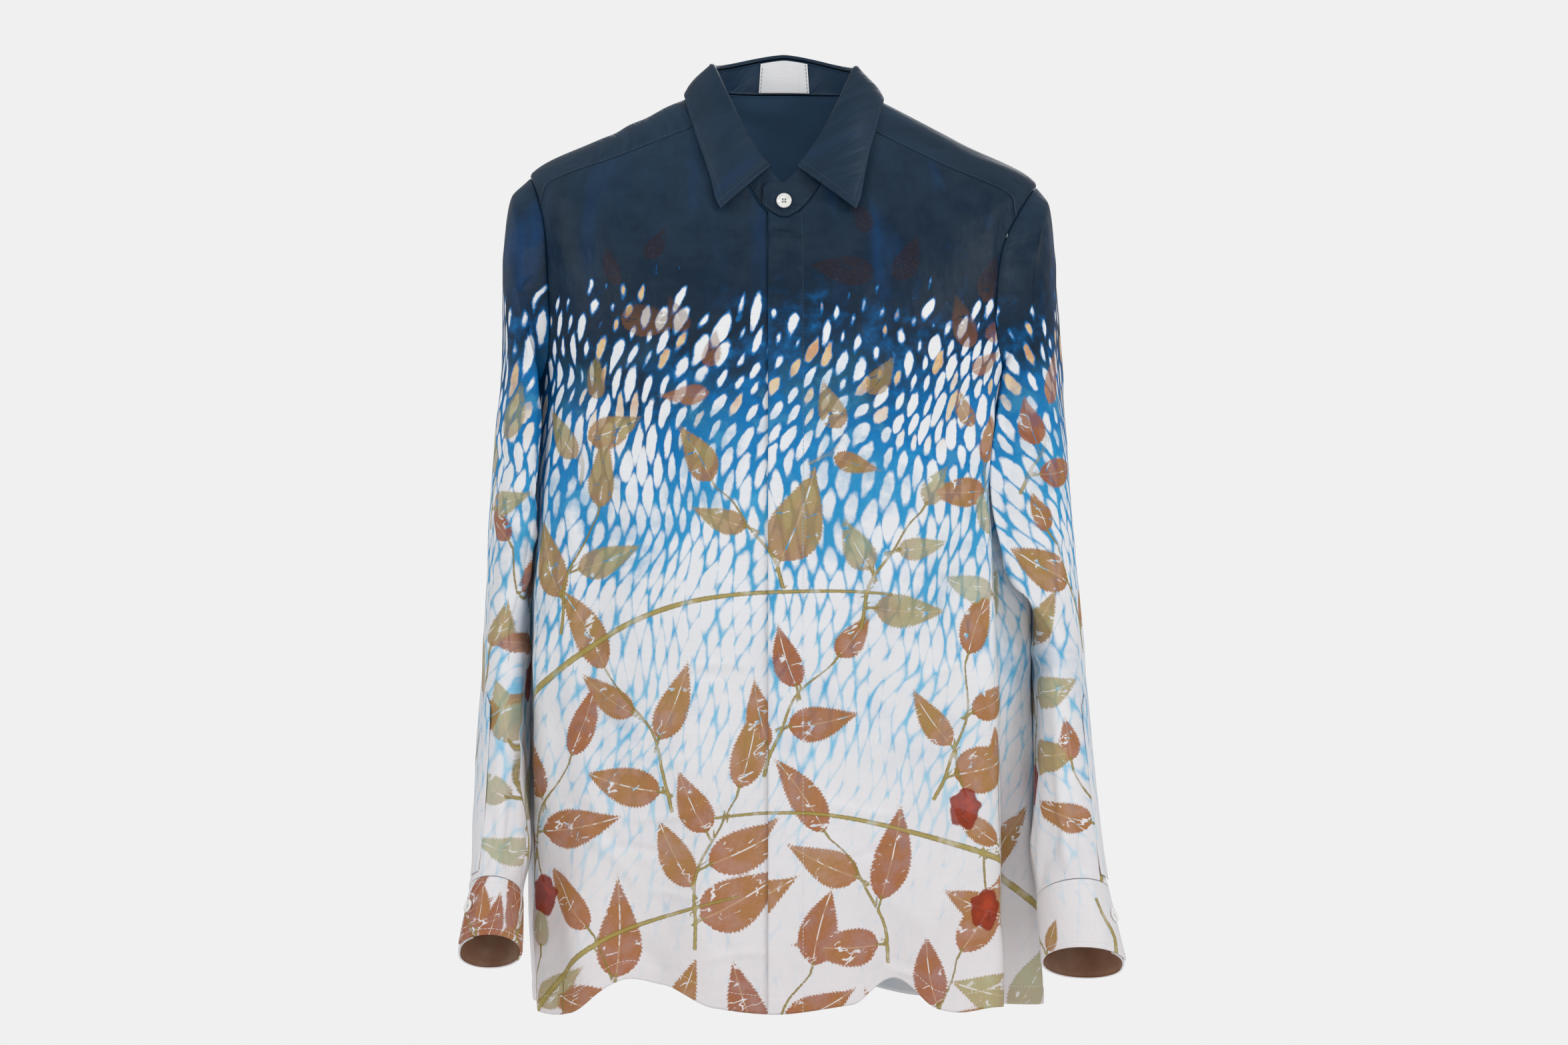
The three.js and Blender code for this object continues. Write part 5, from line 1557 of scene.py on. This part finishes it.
def cuff_band(side):
    """A cuff: from its closure once round and on under itself, a soft roll at both edges, stitched 5 mm
    in."""
    end = CUFFS[side]["closure"] + 360 + CUFF_LAP
    turns = np.linspace(CUFFS[side]["closure"], end, 200 // COARSE)
    down = shares_with_fine_ends(26 // COARSE)
    turn_grid, down_grid = np.broadcast_arrays(turns[None], down[:, None])
    surface = partial(cuff_surface, side)
    points = surface(turn_grid, down_grid)
    normals = surface_normal(surface, turn_grid, down_grid, sign=side)
    fade = CUFF_LAP + CUFF_STEP_IN
    step_in = -2.2 * soft((turn_grid - (end - fade)) / (fade * 0.45))
    points = points + normals * step_in[..., None]
    near = edge_distances(points)
    u = near["first"] - 60
    v = points[..., 2]
    nearest = nearest_edge(near, "first last low high")
    height = seam_dip(nearest, 0.6, 1.0) + seam_dip(nearest - CUFF_STITCH, 0.35, 1.1)
    height += 0.35 * np.sin(u / 13 + 1.7 * np.sin(v / 15)) * soft(nearest / 8)
    points = points + normals * height[..., None]
    fields = printed_fields(u, v, CUFF_SPRIGS[side], 7 if side > 0 else 8)
    node = f"cuff_{SIDE_NAME[side]}"
    # The inner face takes the facing with its painted shade.
    piece = cloth_piece(node, points, fields, CUFF_THICK, SILK, "cuff_silk", CUFF_FACING_PAINTED_SHADE, flip=side < 0)
    visible = slice(0, int(len(turns) * 360 / (360 + CUFF_LAP)))
    outer = (points[:, visible], normals[:, visible])
    stitch_piece(f"{node}_stitching", [
        stitch_line(*outer, edge, CUFF_STITCH) for edge in ("low", "high", "first")
    ])


def sleeve_placket(side):
    """A pointed strip moved out from the sleeve's own surface, stitched near its edges."""
    middle = CUFFS[side]["closure"] + (PLACKET_FROM + PLACKET_TO) / 2
    half = (PLACKET_TO - PLACKET_FROM) / 2
    turns = np.linspace(middle - half, middle + half, 24 // COARSE)
    share = shares_with_fine_ends(90 // COARSE)[:, None]
    point = 1 - np.abs(turns - middle) / half
    start = PLACKET_START + (PLACKET_POINT - PLACKET_START) * point
    along = start + (PLACKET_END - start) * share
    turn_grid = np.broadcast_to(turns[None], along.shape)
    surface = partial(sleeve_point, side)
    points = surface(turn_grid, along)
    normals = surface_normal(surface, turn_grid, along, sign=side)
    points = points + normals * PLACKET_LIFT
    near = edge_distances(points)
    nearest = nearest_edge(near, "first last low")
    height = seam_dip(nearest, 0.5, 0.9) + seam_dip(nearest - EDGE_STITCH, 0.2, 0.8)
    points = points + normals * height[..., None]
    fields = printed_fields(near["first"] + PRINT_START["placket"], points[..., 2], NO_SPRIGS, 9)
    node = f"sleeve_placket_{SIDE_NAME[side]}"
    piece = cloth_piece(node, points, fields, PLACKET_THICK, SILK, "cuff_silk", flip=side < 0)
    stitch_piece(f"{node}_stitching", [
        stitch_line(points, normals, edge, EDGE_STITCH) for edge in ("first", "last", "low")
    ])


for side in (1, -1):
    cuff_band(side)
    sleeve_placket(side)


# The collar stand
# An interlined band of doubled silk sewn into the neckline, lapped and rounded at the centre front.

NECKLINE = {name: column[-1] for name, column in BODY.items()}
STAND_TOP = {
    "left": 60.5, "right": 60.5, "front": 57, "back": 59, "zSide": 25, "zFront": -74, "zBack": 40,
    "square": 2.1, "dip": 1.4, "drop": 2,
}
STAND_OVER_EDGE = 17
STAND_UNDER_EDGE = 15
STAND_ROUND = 24
INTERLINED = 1.8
STAND_THICK = 1.5


def stand_point(angle, up):
    """The stand's outer face: a straight line from the neckline to the stand's top section."""
    low = section_point(NECKLINE, angle) + np.array([0, 0, SEAM])
    return low + (section_point(STAND_TOP, angle) - low) * np.asarray(up)[..., None]


def stand_band():
    """The stand, from its under end at the front round the back to its over end. The ends' top corners are
    cut to a quarter round."""
    under_end = float(angle_at_x(STAND_TOP, np.array(float(STAND_UNDER_EDGE))))
    over_end = float(angle_at_x(STAND_TOP, np.array(float(-STAND_OVER_EDGE)))) - 360
    angles = under_end + (over_end - under_end) * shares_with_fine_ends(260 // COARSE, (0.3, 0.6, 1.5))
    from_end = np.minimum(np.abs(angles - under_end), np.abs(angles - over_end))
    distance = np.radians(from_end) * STAND_TOP["front"]
    corner = np.clip(1 - distance / STAND_ROUND, 0, 1)
    reach = 1 - 0.72 * (1 - np.sqrt(1 - corner * corner * 0.999))
    up = shares_with_fine_ends(22 // COARSE)[:, None] * reach[None]
    angle_grid = np.broadcast_to(angles[None], up.shape)
    points = stand_point(angle_grid, up)
    normals = surface_normal(stand_point, angle_grid, up, -1, 2)
    step = np.where(angle_grid > -90, under_step(points[..., 0], INTERLINED + SEAM + 0.3), 0)
    points = points + normals * step[..., None]
    near = edge_distances(points)
    height = seam_dip(nearest_edge(near, "first last low high"), 0.5, 0.9)
    points = points + normals * height[..., None]
    u, v = near["first"] + PRINT_START["collar_stand"], np.maximum(points[..., 2], -130)
    fields = printed_fields(u, v, NO_SPRIGS, 10)
    piece = cloth_piece("collar_stand", points, fields, STAND_THICK, PLAIN_SILK, "collar_silk", flip=True)
    return points, normals


stand = stand_band()
stitch_piece("collar_stand_stitching", [
    stitch_line(*stand, "last", 4.2),
    stitch_line(*stand, "low", EDGE_STITCH),
])


# The collar leaf
# Interlined silk that rises from the stand's top edge, rolls over and falls to points in front, stitched 6
# mm from its edge.

LEAF_EDGE = columns("along angle level lift", [
    [0.00, -23, 0.963, 5.0],
    [0.09, -38, 0.979, 4.2],
    [0.17, -54, 0.985, 3.8],
    [0.26, -88, 0.989, 3.4],
    [0.50, -180, 0.976, 3.4],
    [0.74, -272, 0.989, 3.4],
    [0.83, -307, 0.984, 3.8],
    [0.91, -321, 0.976, 4.2],
    [1.00, -335, 0.959, 5.0],
])
LEAF_END_ANGLE = 10
LEAF_ROLL_RADIUS = 2.8
LEAF_ROLL_SHARE = 0.3
LEAF_BOW = 2.5
LEAF_SEAT = 1.2
LEAF_THICK = 1.4
LEAF_STITCH = 6


def leaf_point(along, h):
    """The leaf's outer face: a half circle over the stand's top edge, then a slightly bowed fall to the
    outer edge."""
    angle = -LEAF_END_ANGLE - (360 - 2 * LEAF_END_ANGLE) * along
    top = stand_point(angle, np.ones(angle.shape))
    up = unit(top - stand_point(angle, np.zeros(angle.shape)))
    out = surface_normal(stand_point, angle, np.full(angle.shape, 0.9), -1, 2)
    turn = np.minimum(1, h / LEAF_ROLL_SHARE) * np.pi
    roll = top - out * INTERLINED + up * LEAF_SEAT
    roll = roll + up * (LEAF_ROLL_RADIUS * np.sin(turn))[..., None]
    roll = roll + out * (LEAF_ROLL_RADIUS * (1 - np.cos(turn)))[..., None]
    fall = np.clip((h - LEAF_ROLL_SHARE) / (1 - LEAF_ROLL_SHARE), 0, 1)
    place = smooth(LEAF_EDGE, "along", along)
    edge = body_point(place["angle"], place["level"])
    edge = edge + surface_normal(body_point, place["angle"], place["level"]) * place["lift"][..., None]
    line = roll + (edge - roll) * fall[..., None]
    return line + out * (LEAF_BOW * 4 * fall * (1 - fall))[..., None]


def leaf_normal(along, h):
    step = 0.004
    along_a = leaf_point(np.minimum(along + step, 1), h) - leaf_point(np.maximum(along - step, 0), h)
    along_b = leaf_point(along, np.minimum(h + step, 1)) - leaf_point(along, np.maximum(h - step, 0))
    return unit(np.cross(along_a, along_b))


def collar_leaf():
    """The leaf, with a soft edge and a groove along its stitching."""
    along = shares_with_fine_ends(300 // COARSE, (0.4, 0.8, 1.4))
    h = np.concatenate([np.linspace(0, LEAF_ROLL_SHARE, 16 // COARSE)[:-1],
                        LEAF_ROLL_SHARE + (1 - LEAF_ROLL_SHARE) * shares_with_fine_ends(40 // COARSE)])
    along_grid, h_grid = np.broadcast_arrays(along[None], h[:, None])
    points = leaf_point(along_grid, h_grid)
    normals = leaf_normal(along_grid, h_grid)
    near = edge_distances(points)
    nearest = nearest_edge(near, "first last high")
    height = seam_dip(nearest, 0.6, 0.9) + seam_dip(nearest - LEAF_STITCH, 0.32, 0.9)
    u = near["first"]
    height += 0.4 * np.sin(u / 21 + 1.1) * np.sin(near["high"] / 13) * soft(nearest / 10)
    points = points + normals * height[..., None]
    v = -60 - 0.35 * near["high"]
    fields = printed_fields(u + PRINT_START["collar_leaf"], v, NO_SPRIGS, 11)
    piece = cloth_piece("collar_leaf", points, fields, LEAF_THICK, PLAIN_SILK, "collar_silk")
    return points, normals


leaf = collar_leaf()
stitch_piece("collar_leaf_stitching", [
    stitch_line(*leaf, edge, LEAF_STITCH) for edge in ("high", "first", "last")
])


# The label
# A bare woven tape on the inner face of the stand at the back, sewn at both ends.

LABEL_HALF_ANGLE = 19
LABEL_STITCH = 1.6
LABEL_THICK = 0.6


def label_material():
    """White satin tape with fine cross threads, a little greyer in the hollows of the weave as painted shade.
    """
    m = Nodes("label_tape")
    place = m.place()
    warp = m.noise(m.stretched(place, 0, (0.0004, 0.02, 0.02)), 1.0, 1.0)
    weft = m.noise(m.stretched(place, 0, (0.02, 0.02, 0.0005)), 1.0, 1.0)
    threads = m.line(warp, 0.5, m.times(weft, 0.5))
    # Painted shade: the tape is greyer where the threads' height is low.
    colour = m.ramp(threads, [(0.35, "f0f0f2"), (0.6, "fafafc")])
    return m.finish(colour, 0.6, m.bump(threads, 0.0003, 0.5), Sheen_Weight=0.2)


def neck_label():
    """The label follows the stand's inner face, a hair in front of it, and lifts a little between its sewn
    ends."""
    angles = np.linspace(-180 + LABEL_HALF_ANGLE, -180 - LABEL_HALF_ANGLE, 50 // COARSE)
    up = np.linspace(0.05, 0.96, 30 // COARSE)
    angle_grid, up_grid = np.broadcast_arrays(angles[None], up[:, None])
    points = stand_point(angle_grid, up_grid)
    normals = surface_normal(stand_point, angle_grid, up_grid, -1, 2)
    near = edge_distances(points)
    swell = 0.5 * soft(near["first"] / 8) * soft(near["last"] / 8) * (1 + 0.5 * np.sin(near["low"] / 6))
    points = points - normals * (INTERLINED + SEAM + swell)[..., None]
    fields = {"cloth": points * MM}
    tape = label_material()
    piece = cloth_piece("label", points, fields, LABEL_THICK, tape, "label_tape", ending="tape", flip=True)
    inner = points - normals * LABEL_THICK
    stitch_piece("label_stitching", [
        stitch_line(inner, -normals, edge, LABEL_STITCH) for edge in ("first", "last")
    ])


neck_label()


# The buttons
# White polished discs with a raised rim and four holes, sewn on with crossed thread.

BUTTON_RADIUS = 6.35
CUFF_BUTTON_RADIUS = 5.5
BUTTON_HOLE_RADIUS = 0.8
BUTTON_HOLE_SPREAD = 1.5
BUTTON_PROFILE = np.array([
    [0.0, 1.55], [0.42, 1.55], [0.58, 1.62], [0.70, 2.05], [0.80, 2.36], [0.88, 2.40], [0.95, 2.25],
    [0.99, 1.90], [1.0, 1.50], [0.99, 0.90], [0.92, 0.30], [0.80, 0.06], [0.60, 0.0], [0.0, 0.0],
])


def button_material():
    """Milk-white polished shell with a faint cloud in it."""
    m = Nodes("button")
    cloud = m.noise(m.place(), 260.0, 3.0)
    colour = m.ramp(cloud, [(0.3, "e9e8e4"), (0.7, "fbfbf9")])
    return m.finish(colour, 0.16, Specular_IOR_Level=0.6, Coat_Weight=0.4)


BUTTON = button_material()


def frame_of(normal):
    """Two directions across a normal: one near level and one upright."""
    across = unit(np.cross([0.0, 0.0, 1.0], normal))
    return across, np.cross(normal, across)


def revolved(profile, radius, sides=48):
    """A profile of shares of the radius and heights, turned round the axis, as points and faces."""
    spin = np.arange(sides) * 2 * np.pi / sides
    ring = profile[1:-1]
    x = ring[:, None, 0] * radius * np.cos(spin)
    y = ring[:, None, 0] * radius * np.sin(spin)
    z = np.broadcast_to(ring[:, None, 1], x.shape)
    points = np.stack([x, y, z], -1).reshape(-1, 3)
    points = np.concatenate([points, [[0, 0, profile[0, 1]], [0, 0, profile[-1, 1]]]])
    faces = []
    count = len(ring)
    for k in range(sides):
        n = (k + 1) % sides
        for r in range(count - 1):
            faces.append((r * sides + k, (r + 1) * sides + k, (r + 1) * sides + n, r * sides + n))
        faces.append((len(points) - 2, k, n))
        faces.append((len(points) - 1, (count - 1) * sides + n, (count - 1) * sides + k))
    return points, faces


def sewn_button(name, radius, point, normal):
    """A button on its seat: the turned disc with four holes cut through, and two crossed threads."""
    across, upright = frame_of(normal)
    basis = np.stack([across, upright, normal])
    seat = point + normal * SEAM
    points, faces = revolved(BUTTON_PROFILE, radius)
    disc = mesh_piece(f"{name}_disc", (points @ basis + seat) * MM, faces)
    drill_points, drill_faces = [], []
    spread = BUTTON_HOLE_SPREAD / np.sqrt(2)
    pin = np.array([[0, 4.0], [1, 4.0], [1, -1.0], [0, -1.0]], float)
    for x, y in ((1, 1), (-1, 1), (-1, -1), (1, -1)):
        hole, hole_faces = revolved(pin, BUTTON_HOLE_RADIUS, 14)
        shift = sum(len(p) for p in drill_points)
        drill_points.append(hole + np.array([x * spread, y * spread, 0]))
        drill_faces += [tuple(k + shift for k in face) for face in hole_faces]
    drill = mesh_piece(f"{name}_drill", (np.concatenate(drill_points) @ basis + seat) * MM, drill_faces)
    cut = disc.modifiers.new("holes", "BOOLEAN")
    cut.operation = "DIFFERENCE"
    cut.object = drill
    cut.solver = "EXACT"
    evaluated = disc.evaluated_get(bpy.context.evaluated_depsgraph_get())
    carved = bpy.data.meshes.new_from_object(evaluated)
    disc.modifiers.clear()
    disc.data = carved
    bpy.data.objects.remove(drill)
    disc.data.materials.clear()
    disc.data.materials.append(BUTTON)
    disc.data.shade_smooth()
    join_root(disc, name)
    lines = []
    for x, y in ((1, 1), (-1, 1)):
        run = np.linspace(-1, 1, 9)[:, None]
        flat = run * np.array([x * spread, y * spread, 0])
        flat[:, 2] = 1.75 - 1.1 * np.abs(run[:, 0]) ** 6
        lines.append((flat @ basis + seat, np.broadcast_to(normal, flat.shape)))
    thread_points, thread_faces = thread_tubes(lines, 0.26)
    strands = mesh_piece(f"{name}_thread", thread_points * MM, thread_faces)
    strands.data.materials.append(THREAD_WHITE)
    join_root(strands)


def thread_tubes(lines, radius, sides=7):
    """Round threads along lines: rings of a fixed radius, joined in rows, closed by fans at both ends."""
    points, faces = [], []
    for line, facing in lines:
        ahead = unit(np.gradient(line, axis=0))
        side = unit(np.cross(ahead, facing))
        up = np.cross(side, ahead)
        spin = np.arange(sides) * 2 * np.pi / sides
        ring = side[:, None] * np.cos(spin)[None, :, None] + up[:, None] * np.sin(spin)[None, :, None]
        start = sum(len(p) for p in points)
        points.append((line[:, None] + ring * radius).reshape(-1, 3))
        for r in range(len(line) - 1):
            for k in range(sides):
                n = (k + 1) % sides
                faces.append((start + r * sides + k, start + r * sides + n,
                              start + (r + 1) * sides + n, start + (r + 1) * sides + k))
        faces.append(tuple(start + k for k in range(sides))[::-1])
        faces.append(tuple(start + (len(line) - 1) * sides + k for k in range(sides)))
    return np.concatenate(points), faces


white_thread = Nodes("white_thread")
white_twist = white_thread.noise(white_thread.place(), 3000.0, 1.0)
white_tone = white_thread.ramp(white_twist, [(0.3, "c9c6c0"), (0.7, "efeeea")])
THREAD_WHITE = white_thread.finish(white_tone, 0.6)

stand_button_point = stand_point(np.array([0.0]), np.array([0.42]))[0]
stand_button_normal = surface_normal(stand_point, np.array([0.0]), np.array([0.42]))[0]
sewn_button("collar_button", BUTTON_RADIUS, stand_button_point, stand_button_normal)
for side in (1, -1):
    surface = partial(cuff_surface, side)
    turn, down = np.array([float(CUFFS[side]["button"])]), np.array([0.45])
    outward = surface_normal(surface, turn, down, sign=side)[0]
    sewn_button(f"cuff_button_{SIDE_NAME[side]}", CUFF_BUTTON_RADIUS, surface(turn, down)[0], outward)
